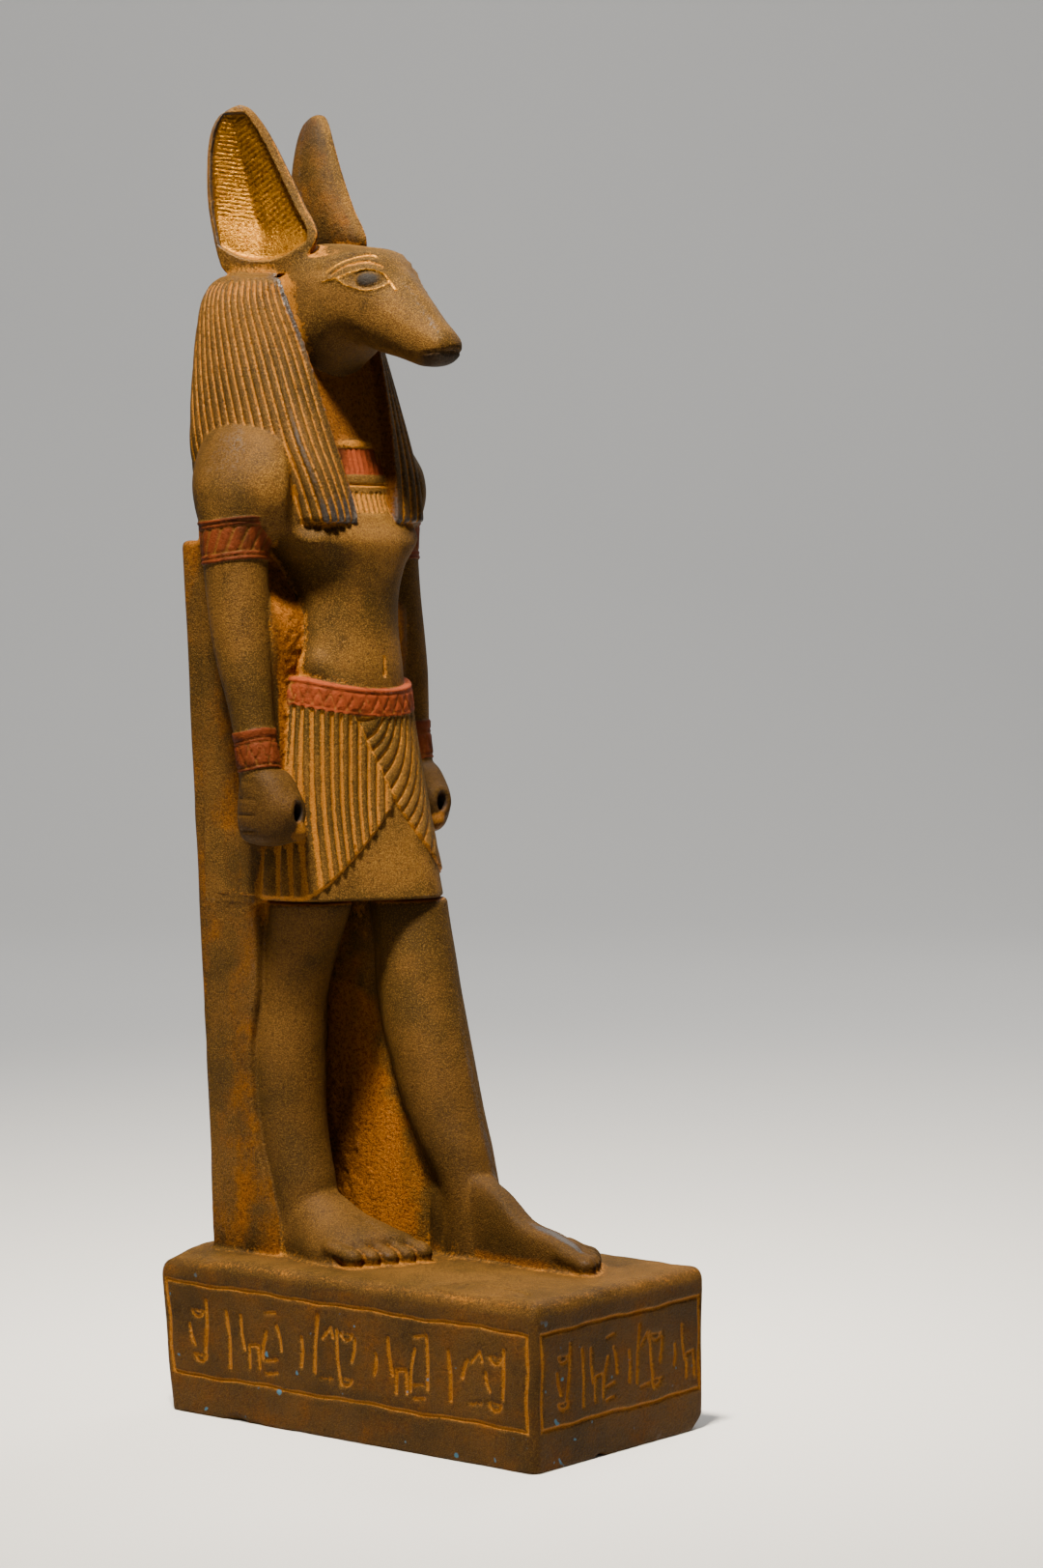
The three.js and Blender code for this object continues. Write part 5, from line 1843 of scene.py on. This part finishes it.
class Statue:
    """The whole stone, as its forms in the order in which they are joined."""

    def __init__(self) -> None:
        """Builds every form from the measured sections."""
        rows, slab = measured(), Slab()
        self.forms: list[Form] = [
            Plinth(), slab, SideWall(slab, rows.wall_front, -1, 2.0, 36.0, 134.0, 11.0),
            *(SideWall(slab, rows.web_front, side, 8.0, 118.0, 204.0) for side in (-1, 1)),
            LegWall(rows.left_leg),
            Limb(rows.right_leg, (-20.8, 18.0, 36.0), (-0.5, 45.0, 118.0)),
            Limb(rows.left_leg, (0.5, -14.0, 36.0), (20.5, 30.0, 118.0), shin=0.5),
            Foot(-3.6, -22.2, -4.4, -18.0, 38.5, -3.6, 10.0, rows.right_foot),
            Foot(1.8, 17.6, 4.2, 16.2, 6, -43.2, 10, rows.left_foot, 0.31, 4.2, 2.0, 0.95, 0.6),
            Torso(rows.torso), *(Hip(side) for side in (-1, 1)), Kilt(rows.kilt),
            *(Arm(side, rows.arm) for side in (-1, 1)),
            *(Shoulder(side) for side in (-1, 1)),
            *(Furrow((side * 20.6, 20.6, 205.0), (side * 18.2, 21.6, 219.0), 4.2) for side in (-1, 1)),
            *(Fist(side, rows.hand) for side in (-1, 1)),
            Collar(), Throat(rows.lappet), Head(rows.head), Wig(rows.lappet, rows.mane),
            *(Ear(side, rows.ear) for side in (-1, 1)),
        ]

    def distance(self, cloud: Cloud) -> Array:
        """Distance of each point from the stone, negative inside.

        Args:
            cloud: The points.

        Returns:
            The distance of each point, negative inside.
        """
        whole = np.full_like(cloud.x, FAR)
        for form in self.forms:
            if not form.near(cloud):
                continue
            if form.removes:
                whole = soft_max(whole, -form.distance(cloud), form.fillet)
            else:
                whole = soft_min(whole, form.distance(cloud), form.fillet)
        return whole

    def marks(self, cloud: Cloud) -> dict[Mark, Array]:
        """What the surface carries, each mark counting where its own form is the surface.

        Args:
            cloud: The points.

        Returns:
            Each mark's share at every point.
        """
        found = {mark: np.zeros_like(cloud.x) for mark in Mark}
        for form in self.forms:
            if form.near(cloud) and not form.removes:
                own = ease(1.0 - (form.distance(cloud) - 0.1) / 0.5)
                for mark, value in form.marks(cloud).items():
                    found[mark] = np.maximum(found[mark], own * value)
        return found


def in_batches(points: Array, work: Callable[[Array], Array], rows: int = 1, cell: float = 14.0) -> Array:
    """Runs work on compact batches of points, on every core.

    Args:
        points: All of the points.
        work: Takes the numbers of some points and gives the rows of values for them.
        rows: How many values each point gets.
        cell: The size of the cubes that the points are sorted into.

    Returns:
        The values, one row for each kind, in the order of the points.
    """
    key = np.zeros(len(points), np.int64)
    for values in points.T:
        key = key * 256 + ((values - values.min()) / cell).astype(np.int64)
    order = np.argsort(key, kind="stable")
    batches = np.split(order, np.flatnonzero(np.diff(key[order])) + 1)
    made = np.empty((rows, len(points)), np.float32)

    def run(batch: Array) -> None:
        """Works out one batch."""
        made[:, batch] = work(batch)

    with ThreadPoolExecutor(THREADS) as pool:
        list(pool.map(run, batches))
    return made


@dataclass
class Skinner:
    """Turns a distance into a mesh: one point in each small cube that the surface crosses."""

    work: Callable[[Cloud], Array]
    low: Array
    high: Array
    voxel: float = 0.36
    halvings: int = 2
    value: Array = field(init=False)
    cells: Array = field(init=False)

    def sample(self) -> None:
        """Fills the grid, halving its step only where the surface may pass."""
        step = self.voxel * 2**self.halvings
        count = np.ceil((self.high - self.low) / step).astype(int) + 1
        spots = np.stack(np.meshgrid(*[np.arange(n) for n in count], indexing="ij"), -1).reshape(-1, 3)
        self.value = self.at(self.low + spots * step).reshape(count)
        for _ in range(self.halvings):
            cubes = np.argwhere(self.crossed(self.value))
            for axis in range(3):
                self.value = np.repeat(self.value, 2, axis)
            step /= 2
            spots = (cubes[:, None, :] * 2 + CORNERS[None]).reshape(-1, 3)
            self.value[tuple(spots.T)] = self.at(self.low + spots * step)
        self.cells = np.ravel_multi_index(tuple(spots.T), self.value.shape)

    def at(self, points: Array) -> Array:
        """The distance at each point."""
        return in_batches(points, lambda some: self.work(Cloud(*points[some].T)), 1, 45 * self.voxel)[0]

    @staticmethod
    def crossed(rough: Array) -> Array:
        """The coarse cubes whose corners differ in sign, and their neighbours.

        Args:
            rough: The distance at the corners.

        Returns:
            Whether each cube counts.
        """
        inside = np.pad(rough < 0, ((0, 1),) * 3, "edge")
        low = high = inside
        for axis in range(3):
            low = np.minimum(low, np.roll(low, -1, axis))
            high = np.maximum(high, np.roll(high, -1, axis))
        active = (low != high)[:-1, :-1, :-1]
        for axis in range(3):
            active = active | np.roll(active, 1, axis) | np.roll(active, -1, axis)
        return active

    def mesh(self) -> tuple[Array, Array]:
        """The surface as points and quads.

        Returns:
            Points in millimetres, and four point numbers for each face.
        """
        shape = np.array(self.value.shape)
        stride = np.array([shape[1] * shape[2], shape[2], 1])
        flat = self.value.ravel()
        at = np.sort(self.cells)
        at = at[at < flat.size - stride.sum()]
        sign = np.zeros(len(at), np.int8)
        for corner in CORNERS:
            sign += flat[at + corner @ stride] < 0
        at = at[(sign > 0) & (sign < 8)]
        values = np.stack([flat[at + corner @ stride] for corner in CORNERS])
        total, hits = np.zeros((len(at), 3)), np.zeros(len(at))
        for a in range(8):
            for b in range(a + 1, 8):
                way = CORNERS[b] - CORNERS[a]
                if np.abs(way).sum() != 1:
                    continue
                cross = (values[a] < 0) != (values[b] < 0)
                t = np.where(cross, values[a] / np.where(cross, values[a] - values[b], 1), 0)
                total += cross[:, None] * (CORNERS[a] + t[:, None] * way)
                hits += cross
        base = np.stack(np.unravel_index(at, self.value.shape), 1)
        points = self.low + (base + total / hits[:, None]) * self.voxel
        quads = []
        for axis in range(3):
            side, other = [k for k in range(3) if k != axis]
            if axis == 1:
                side, other = other, side
            start, stop = values[0] < 0, values[{0: 4, 1: 2, 2: 1}[axis]] < 0
            for inside_first in (True, False):
                edge = at[(start & ~stop) if inside_first else (~start & stop)]
                ring = [edge, edge - stride[side], edge - stride[side] - stride[other], edge - stride[other]]
                found = np.stack([np.searchsorted(at, cell) for cell in ring], 1)
                kept = (at[np.minimum(found, len(at) - 1)] == np.stack(ring, 1)).all(1)
                quads.append(found[kept] if inside_first else found[kept][:, ::-1])
        return points, np.concatenate(quads)


def placed(name: str, data: bpy.types.ID) -> bpy.types.Object:
    """A new object, linked to the scene.

    Args:
        name: What the object is called.
        data: Its mesh, light or camera.

    Returns:
        The object.
    """
    made = bpy.data.objects.new(name, data)
    bpy.context.scene.collection.objects.link(made)
    return made


def polygon_mesh(name: str, points: Array, faces: Array) -> bpy.types.Mesh:
    """A Blender mesh from points in millimetres and faces of one size.

    Args:
        name: What the mesh is called.
        points: Its places in millimetres.
        faces: A row of point numbers for each face.

    Returns:
        The mesh.
    """
    mesh = bpy.data.meshes.new(name)
    count, size = faces.shape
    mesh.vertices.add(len(points))
    mesh.vertices.foreach_set("co", (points * MM).astype(np.float32).ravel())
    mesh.loops.add(count * size)
    mesh.loops.foreach_set("vertex_index", faces.astype(np.int32).ravel())
    mesh.polygons.add(count)
    mesh.polygons.foreach_set("loop_start", np.arange(0, count * size, size, dtype=np.int32))
    mesh.update(calc_edges=True)
    return mesh


@dataclass
class Carving:
    """Makes the piece: skins the stone, thins the mesh and writes the marks on it."""

    statue: Statue
    name: str = "statue_carved"
    most_faces: int = 197000
    margin: float = 1.2

    def build(self) -> bpy.types.Object:
        """Makes the carved piece.

        Returns:
            The finished object, without a material.
        """
        low, high = (np.array(corner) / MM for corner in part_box("statue"))
        voxel = 0.36
        skinner = Skinner(self.statue.distance, low - self.margin, high + self.margin, voxel)
        skinner.sample()
        points, quads = skinner.mesh()
        log.info("skinned: %d points, %d quads, %d samples", len(points), len(quads), len(skinner.cells))
        piece = placed(self.name, polygon_mesh(self.name, points, quads))
        self.thin(piece, 2 * len(quads))
        self.settle(piece, low, high)
        self.mark(piece)
        return piece

    def thin(self, piece: bpy.types.Object, triangles: int) -> None:
        """Draws flat areas together until the mesh is under its limit.

        Args:
            piece: The skinned object.
            triangles: How many it has.
        """
        tool = piece.modifiers.new("thin", "DECIMATE")
        tool.ratio = min(1.0, self.most_faces / triangles)
        tool.use_collapse_triangulate = True
        graph = bpy.context.evaluated_depsgraph_get()
        thinned = bpy.data.meshes.new_from_object(piece.evaluated_get(graph))
        piece.modifiers.clear()
        piece.data = thinned
        thinned.name = self.name

    def settle(self, piece: bpy.types.Object, low: Array, high: Array) -> None:
        """Moves each point onto the true surface, and keeps it inside the solid's box.

        Args:
            piece: The thinned object.
            low: The lowest corner of the solid's box.
            high: Its highest corner.
        """
        mesh = piece.data
        points = self.points(mesh)
        tilt = 0.12
        ways = np.concatenate([np.zeros((1, 3)), tilt * np.eye(3), -tilt * np.eye(3)])
        for _ in range(2):
            found = self.round_about(points, lambda some, way: points[some] + way, ways)
            slope = (found[1:4] - found[4:]).T / (2 * tilt)
            steep = np.maximum((slope**2).sum(1), 0.3)
            points = points - np.clip(found[0] / steep, -0.12, 0.12)[:, None] * slope
        points = np.clip(points, low, high)
        mesh.vertices.foreach_set("co", (points * MM).astype(np.float32).ravel())
        mesh.update()
        mesh.shade_smooth()

    def round_about(self, points: Array, moved: Callable[[Array, object], Array], moves: Iterable) -> Array:
        """The distance at several places about each point.

        Args:
            points: The points.
            moved: Gives the places of some of the points after one move.
            moves: The moves.

        Returns:
            A row of distances for each move.
        """
        moves = list(moves)

        def read(some: Array) -> Array:
            """All moves of one batch at once."""
            places = np.concatenate([moved(some, move) for move in moves])
            return self.statue.distance(Cloud(*places.T)).reshape(len(moves), -1)

        return in_batches(points, read, len(moves))

    @staticmethod
    def points(mesh: bpy.types.Mesh) -> Array:
        """The mesh's points in millimetres.

        Args:
            mesh: The mesh.

        Returns:
            A row for each point.
        """
        flat = np.empty(len(mesh.vertices) * 3, np.float32)
        mesh.vertices.foreach_get("co", flat)
        return flat.reshape(-1, 3).astype(float) / MM

    def mark(self, piece: bpy.types.Object) -> None:
        """Writes what each point carries as named values on the mesh.

        Args:
            piece: The settled object.
        """
        mesh = piece.data
        points = self.points(mesh)
        normals = np.empty(len(points) * 3, np.float32)
        mesh.vertex_normals.foreach_get("vector", normals)
        normals = normals.reshape(-1, 3)
        carried = [mark for mark in Mark if mark is not Mark.HOLLOW]

        def read(some: Array) -> list[Array]:
            """The marks of one batch."""
            marks = self.statue.marks(Cloud(*points[some].T))
            return [marks[mark] for mark in carried]

        found = dict(zip(carried, in_batches(points, read, len(carried))))
        self.shade(points, normals, found)
        for mark, values in found.items():
            layer = mesh.attributes.new(mark.value, "FLOAT", "POINT")
            layer.data.foreach_set("value", np.clip(values, 0, 1).astype(np.float32))

    def shade(self, points: Array, normals: Array, found: dict[Mark, Array]) -> None:
        """Works out where dust and painted shade gather in hollows and where hands have rubbed, from the room
        round each point.

        Args:
            points: Places on the surface.
            normals: The way out at each.
            found: The marks, which are changed.
        """
        steps = (0.7, 2.0, 6.0, -0.6, -1.4)
        depths = self.round_about(points, lambda some, step: points[some] + normals[some] * step, steps)
        room = {step: depth / abs(step) for step, depth in zip(steps, depths)}
        near, mid, wide = (np.clip(1 - room[step], 0, 1) for step in (0.7, 2.0, 6.0))
        x, _, z = points.T
        leg = 0.8 * ease((-14 - x) / 3) * ease((z - 42) / 8) * ease((116 - z) / 8)
        swept = np.maximum(leg, found.pop(Mark.CLEAN) * (1 - ease((wide - 0.35) / 0.3)))
        found[Mark.RECESS] = np.clip(found[Mark.RECESS] + (0.6 * near + 0.3 * mid) * (1 - swept), 0, 1)
        # painted shade in hollows and creases, which also adds some dust
        found[Mark.HOLLOW] = np.clip((0.5 * mid + 0.8 * wide) * (1 - swept), 0, 1)
        fine, broad = (np.clip(1 + room[step], 0, 1) for step in (-0.6, -1.4))
        # rubbed wear on ridges, whose strongest part gets a painted highlight
        found[Mark.RUB] = np.clip(found[Mark.RUB] + 0.5 * fine + 0.45 * broad - 0.6 * near, 0, 1)


# Finishes


class Value:
    """A number in a material's nodes, which can be added, taken away and multiplied."""

    def __init__(self, graph: "Graph", socket: bpy.types.NodeSocket) -> None:
        """Keeps the socket."""
        self.graph, self.socket = graph, socket

    def __add__(self, other: object) -> "Value":
        """The sum of two numbers."""
        return self.graph.math("ADD", self, other)

    def __sub__(self, other: object) -> "Value":
        """What is left of a number when another is taken away."""
        return self.graph.math("SUBTRACT", self, other)

    def __mul__(self, other: object) -> "Value":
        """The product of two numbers."""
        return self.graph.math("MULTIPLY", self, other)


class Graph:
    """A short way to write a material's nodes."""

    def __init__(self, name: str) -> None:
        """Starts an empty material.

        Args:
            name: The material's name.
        """
        self.material = bpy.data.materials.new(name)
        self.material.use_nodes = True
        self.tree = self.material.node_tree
        self.tree.nodes.clear()

    def feed(self, socket: bpy.types.NodeSocket, value: object) -> None:
        """Sets an input, or links it to the node that gives its value.

        Args:
            socket: The input.
            value: A value, or a socket that gives one.
        """
        value = value.socket if isinstance(value, Value) else value
        if isinstance(value, bpy.types.NodeSocket):
            self.tree.links.new(value, socket)
        else:
            socket.default_value = value

    def node(self, kind: str, inputs: dict | None = None, **settings: object) -> bpy.types.Node:
        """Adds a node, sets its settings and feeds its inputs.

        Args:
            kind: Its type.
            inputs: What each input is fed with.
            **settings: Its other settings.

        Returns:
            The node.
        """
        node = self.tree.nodes.new(kind)
        for name, value in settings.items():
            setattr(node, name, value)
        for name, value in (inputs or {}).items():
            self.feed(node.inputs[name], value)
        return node

    def mark(self, mark: Mark) -> Value:
        """The named value that the mesh carries."""
        return Value(self, self.node("ShaderNodeAttribute", attribute_name=mark.value).outputs["Fac"])

    def noise(self, place: bpy.types.NodeSocket, size: float, detail: float = 3, rough: float = 0.6) -> Value:
        """Noise whose blotches are about `size` millimetres."""
        inputs = {"Vector": place, "Scale": 1 / (size * MM), "Detail": detail, "Roughness": rough}
        return Value(self, self.node("ShaderNodeTexNoise", inputs).outputs["Fac"])

    def math(self, kind: str, a: object, b: object, clamp: bool = False) -> Value:
        """One sum of two values."""
        made = self.node("ShaderNodeMath", {0: a, 1: b}, operation=kind, use_clamp=clamp)
        return Value(self, made.outputs[0])

    def ramp(self, value: object, low: float, high: float) -> Value:
        """0 at low, 1 at high and smooth between.

        Args:
            value: The number to read.
            low: Where it starts.
            high: Where it ends.

        Returns:
            The result.
        """
        inputs = {"Value": value, "From Min": low, "From Max": high}
        made = self.node("ShaderNodeMapRange", inputs, interpolation_type="SMOOTHSTEP")
        return Value(self, made.outputs["Result"])

    def blend(self, share: Value, a: object, b: object) -> bpy.types.NodeSocket:
        """A colour that goes from a to b.

        Args:
            share: How far.
            a: The first colour.
            b: The second colour.

        Returns:
            The colour.
        """
        made = self.node("ShaderNodeMix", data_type="RGBA")
        for socket, value in zip((made.inputs[0], made.inputs[6], made.inputs[7]), (share, a, b)):
            self.feed(socket, (*value, 1.0) if isinstance(value, tuple) else value)
        return made.outputs[2]


Colour = tuple[float, float, float]


@dataclass(frozen=True)
class Patina:
    """The stone's finish: sandy bronze-brown, ochre dust in the hollows, dark rubbed edges, worn paint,
    painted shade and highlights.
    """

    # deep also darkens hollows and the less lit parts as painted shade
    deep: Colour = (0.014, 0.0065, 0.0014)
    brown: Colour = (0.086, 0.038, 0.0072)
    olive: Colour = (0.046, 0.024, 0.0046)
    tan: Colour = (0.20, 0.100, 0.017)
    ochre: Colour = (0.306, 0.128, 0.017)
    orange: Colour = (0.20, 0.064, 0.005)
    rust: Colour = (0.085, 0.024, 0.002)
    slate: Colour = (0.021, 0.021, 0.021)
    red: Colour = (0.162, 0.0306, 0.00765)
    dull_red: Colour = (0.0723, 0.0153, 0.0034)
    gold: Colour = (0.25, 0.108, 0.009)
    amber: Colour = (0.14, 0.049, 0.0035)
    # black also paints shade on the muzzle's front and in the grip holes
    black: Colour = (0.012, 0.011, 0.010)
    blue: Colour = (0.03, 0.10, 0.15)
    # a painted highlight on the most rubbed ridges
    painted_highlight: Colour = (0.24, 0.205, 0.170)

    def material(self) -> bpy.types.Material:
        """Lays the finishes over one another, from the bare stone to the gold and the last flecks.

        Returns:
            The material.
        """
        g = Graph("patinated_stone")
        place = g.node("ShaderNodeTexCoord").outputs["Object"]
        # Some of these marks also paint shade (in hollows, on the muzzle's front, in the grip holes and on
        # the less lit parts) or a highlight (on the most rubbed ridges).
        red, gilt, rough, dark, recess, hollow, rubbed, shade_and_patina = (
            g.mark(mark) for mark in Mark if mark is not Mark.CLEAN)
        broad, patch = g.noise(place, 22, 4), g.noise(place, 7, 5, 0.65)
        grain, sand = g.noise(place, 0.75, 3, 0.7), g.noise(place, 0.30, 2, 0.6)
        uneven, gritty = patch - 0.5, grain - 0.5

        colour = g.blend(g.ramp(broad, 0.38, 0.62), self.olive, self.brown)
        colour = g.blend(g.ramp(patch, 0.46, 0.30) * 0.45, colour, self.deep)
        colour = g.blend(g.ramp(sand + broad * 0.25, 0.60, 0.76) * 0.6, colour, self.tan)
        colour = g.blend(g.ramp(grain, 0.47, 0.33) * 0.5, colour, self.deep)
        # painted shade: darker in hollows and creases
        colour = g.blend(hollow * 0.6, colour, self.deep)

        dusty = recess + hollow * 0.30 + gritty * 1.3 + uneven * 0.8
        dust = g.blend(g.ramp(sand, 0.35, 0.65), self.orange, self.ochre)
        colour = g.blend(g.ramp(dusty, 0.34, 0.78) * 0.92, colour, dust)

        tooled = g.blend(g.ramp(grain, 0.34, 0.58), self.rust, self.orange)
        tooled = g.blend(g.ramp(sand, 0.50, 0.68) * 0.6, tooled, self.ochre)
        rough_share = g.ramp(rough + uneven * 0.9, 0.35, 0.75)
        colour = g.blend(rough_share, colour, tooled)

        # rubbed wear turns slate; where strongest, a painted highlight turns it pale
        worn = rubbed + (broad - 0.5) * 1.1 + gritty * 0.9
        rub = g.ramp(worn, 0.30, 0.75)
        colour = g.blend(rub * 0.85, colour, self.slate)
        colour = g.blend(g.ramp(worn, 0.85, 1.2) * 0.6, colour, self.painted_highlight)

        kept = red - g.ramp(patch, 0.60, 0.74) * 0.65 - g.ramp(grain, 0.60, 0.72) * 0.45
        paint = g.blend(g.ramp(patch, 0.36, 0.56), self.dull_red, self.red)
        paint = g.blend(g.ramp(recess, 0.25, 0.7) * 0.5, paint, self.tan)
        colour = g.blend(g.ramp(kept, 0.35, 0.62), colour, paint)

        # painted shade on the less lit parts, partly a darker patina
        colour = g.blend(shade_and_patina, colour, self.deep)
        leaf = g.ramp(gilt - g.ramp(grain, 0.58, 0.70) * 0.35, 0.30, 0.60)
        foil = g.blend(g.ramp(grain + recess * -0.12, 0.34, 0.56), self.amber, self.gold)
        colour = g.blend(leaf, colour, foil)
        # black eye paint, and painted shade on the muzzle's front and in the grip holes
        colour = g.blend(dark * 0.93, colour, self.black)

        height = g.node("ShaderNodeSeparateXYZ", {"Vector": place}).outputs["Z"]
        fleck = g.ramp(g.noise(place, 3.1, 1), 0.73, 0.76) * g.ramp(height, 0.034, 0.030)
        colour = g.blend(fleck * 0.8, colour, self.blue)

        dull = rub * -0.24 + leaf * -0.20 + rough_share * 0.25 + 0.60
        relief = grain * (rough * 1.6 + 1.0) + sand * 0.6
        bump = g.node("ShaderNodeBump", {"Height": relief, "Strength": 0.6, "Distance": 0.35 * MM})
        shader = g.node("ShaderNodeBsdfPrincipled", {
            "Base Color": colour, "Roughness": g.math("ADD", dull, (sand - 0.5) * 0.35, clamp=True),
            "Metallic": leaf * 0.75, "Normal": bump.outputs["Normal"],
            "Specular IOR Level": rub * 0.25 + 0.06})
        g.node("ShaderNodeOutputMaterial", {"Surface": shader.outputs["BSDF"]})
        return g.material


@dataclass(frozen=True)
class Paper:
    """The plain pale sweep that the piece stands on."""

    colour: Colour = (0.62, 0.61, 0.59)

    def material(self) -> bpy.types.Material:
        """Builds the nodes.

        Returns:
            The material.
        """
        g = Graph("pale_paper")
        place = g.node("ShaderNodeTexCoord").outputs["Object"]
        shade = g.blend(g.noise(place, 260, 2), self.colour, tuple(c * 0.97 for c in self.colour))
        shader = g.node("ShaderNodeBsdfPrincipled", {"Base Color": shade, "Roughness": 0.9})
        g.node("ShaderNodeOutputMaterial", {"Surface": shader.outputs["BSDF"]})
        return g.material


# Stage


@dataclass
class Studio:
    """The floor, the lights and the camera."""

    spot: Point = (-714.4, -593.0, 199.9)
    yaw: float = math.radians(-51.507)
    pitch: float = math.radians(3.36)
    roll: float = math.radians(0.116)
    focal: float = 4244.9
    image_long_side: int = 1623
    sensor: float = 36.0

    def axes(self) -> tuple[Vector, Vector, Vector]:
        """The camera's right, up and back.

        Returns:
            The three directions.
        """
        back = Vector((
            math.sin(self.yaw) * math.cos(self.pitch),
            -math.cos(self.yaw) * math.cos(self.pitch),
            math.sin(self.pitch),
        ))
        right = Vector((math.cos(self.yaw), math.sin(self.yaw), 0.0))
        up = back.cross(right)
        cosine, sine = math.cos(self.roll), math.sin(self.roll)
        return right * cosine + up * sine, up * cosine - right * sine, back

    def camera(self) -> None:
        """Places the camera at the viewing angle."""
        data = bpy.data.cameras.new("view")
        data.sensor_fit = "AUTO"
        data.sensor_width = self.sensor
        data.lens = self.focal * self.sensor / self.image_long_side
        data.clip_start, data.clip_end = 0.05, 20.0
        camera = placed("view", data)
        right, up, back = self.axes()
        turn = Matrix((right, up, back)).transposed().to_4x4()
        camera.matrix_world = Matrix.Translation(Vector(self.spot) * MM) @ turn
        bpy.context.scene.camera = camera

    def sweep(self) -> None:
        """The pale floor, which curves up into a backdrop far behind."""
        _, _, back = self.axes()
        away = -Vector((back.x, back.y, 0)).normalized()
        side = Vector((-away.y, away.x, 0))
        profile = [(-3.0, 0.0), (1.2, 0.0)]
        turns = np.linspace(0.1, math.pi / 2, 14)
        profile += [(1.2 + 0.8 * math.sin(a), 0.8 - 0.8 * math.cos(a)) for a in turns]
        profile += [(2.0, 3.5)]
        points = [away * s + side * w + Vector((0, 0, z)) for s, z in profile for w in (-4.0, 4.0)]
        count = len(profile)
        faces = np.array([(2 * i, 2 * i + 1, 2 * i + 3, 2 * i + 2) for i in range(count - 1)])
        mesh = polygon_mesh("floor", np.array(points) / MM, faces)
        mesh.shade_smooth()
        mesh.materials.append(Paper().material())
        placed("floor", mesh)

    def lamp(self, name: str, place: Point, size: float, power: float, colour: Colour,
             aim: Point = (0.0, 0.0, 0.15), spread: float = 180.0) -> None:
        """A soft square lamp that looks at the middle of the statuette, or elsewhere.

        Args:
            name: What it is called.
            place: Where it hangs.
            size: The length of its side.
            power: Its watts.
            colour: Its colour.
            aim: What it looks at.
            spread: How wide it shines, in degrees.
        """
        data = bpy.data.lights.new(name, "AREA")
        data.size, data.energy, data.color, data.spread = size, power, colour, math.radians(spread)
        lamp = placed(name, data)
        lamp.location = place
        lamp.rotation_euler = (Vector(aim) - Vector(place)).to_track_quat("-Z", "Y").to_euler()

    def light(self) -> None:
        """A warm key from the upper left, a weak fill from the right and a pale room."""
        right, _, back = self.axes()
        flat_back = Vector((back.x, back.y, 0)).normalized()

        def spot(across: float, near: float, high: float) -> Point:
            """A place given across the view, towards the camera and up."""
            return tuple(right * across + flat_back * near + Vector((0, 0, high)))

        self.lamp("key", spot(-0.11, 0.31, 0.95), 0.13, 3.9, (1.0, 0.91, 0.77), (0.0, 0.0, 0.17), 55.0)
        self.lamp("fill", spot(-0.9, 0.5, 0.4), 0.8, 0.28, (1.0, 0.96, 0.90))
        self.lamp("rim", spot(0.5, -0.75, 0.9), 0.4, 6.0, (1.0, 0.97, 0.92))
        self.lamp("backdrop", spot(0.0, -0.35, 1.7), 1.4, 20.0, (1.0, 1.0, 1.0),
                  -flat_back * 1.75 + Vector((0, 0, 0.2)), 140.0)
        world = bpy.data.worlds.new("room")
        world.use_nodes = True
        world.node_tree.nodes["Background"].inputs["Color"].default_value = (0.95, 0.97, 1.0, 1.0)
        world.node_tree.nodes["Background"].inputs["Strength"].default_value = 0.04
        bpy.context.scene.world = world

    def build(self) -> None:
        """Makes the whole stage."""
        self.camera()
        self.sweep()
        self.light()


def main() -> None:
    """Builds the stage and the carved piece."""
    logging.basicConfig(level=logging.INFO, format="%(name)s: %(message)s")
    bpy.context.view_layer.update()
    Studio().build()
    piece = Carving(Statue()).build()
    piece.data.materials.append(Patina().material())
    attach(piece, "root")
    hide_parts("statue")
    log.info("%s: %d faces", piece.name, len(piece.data.polygons))


if __name__ == "__main__":
    main()
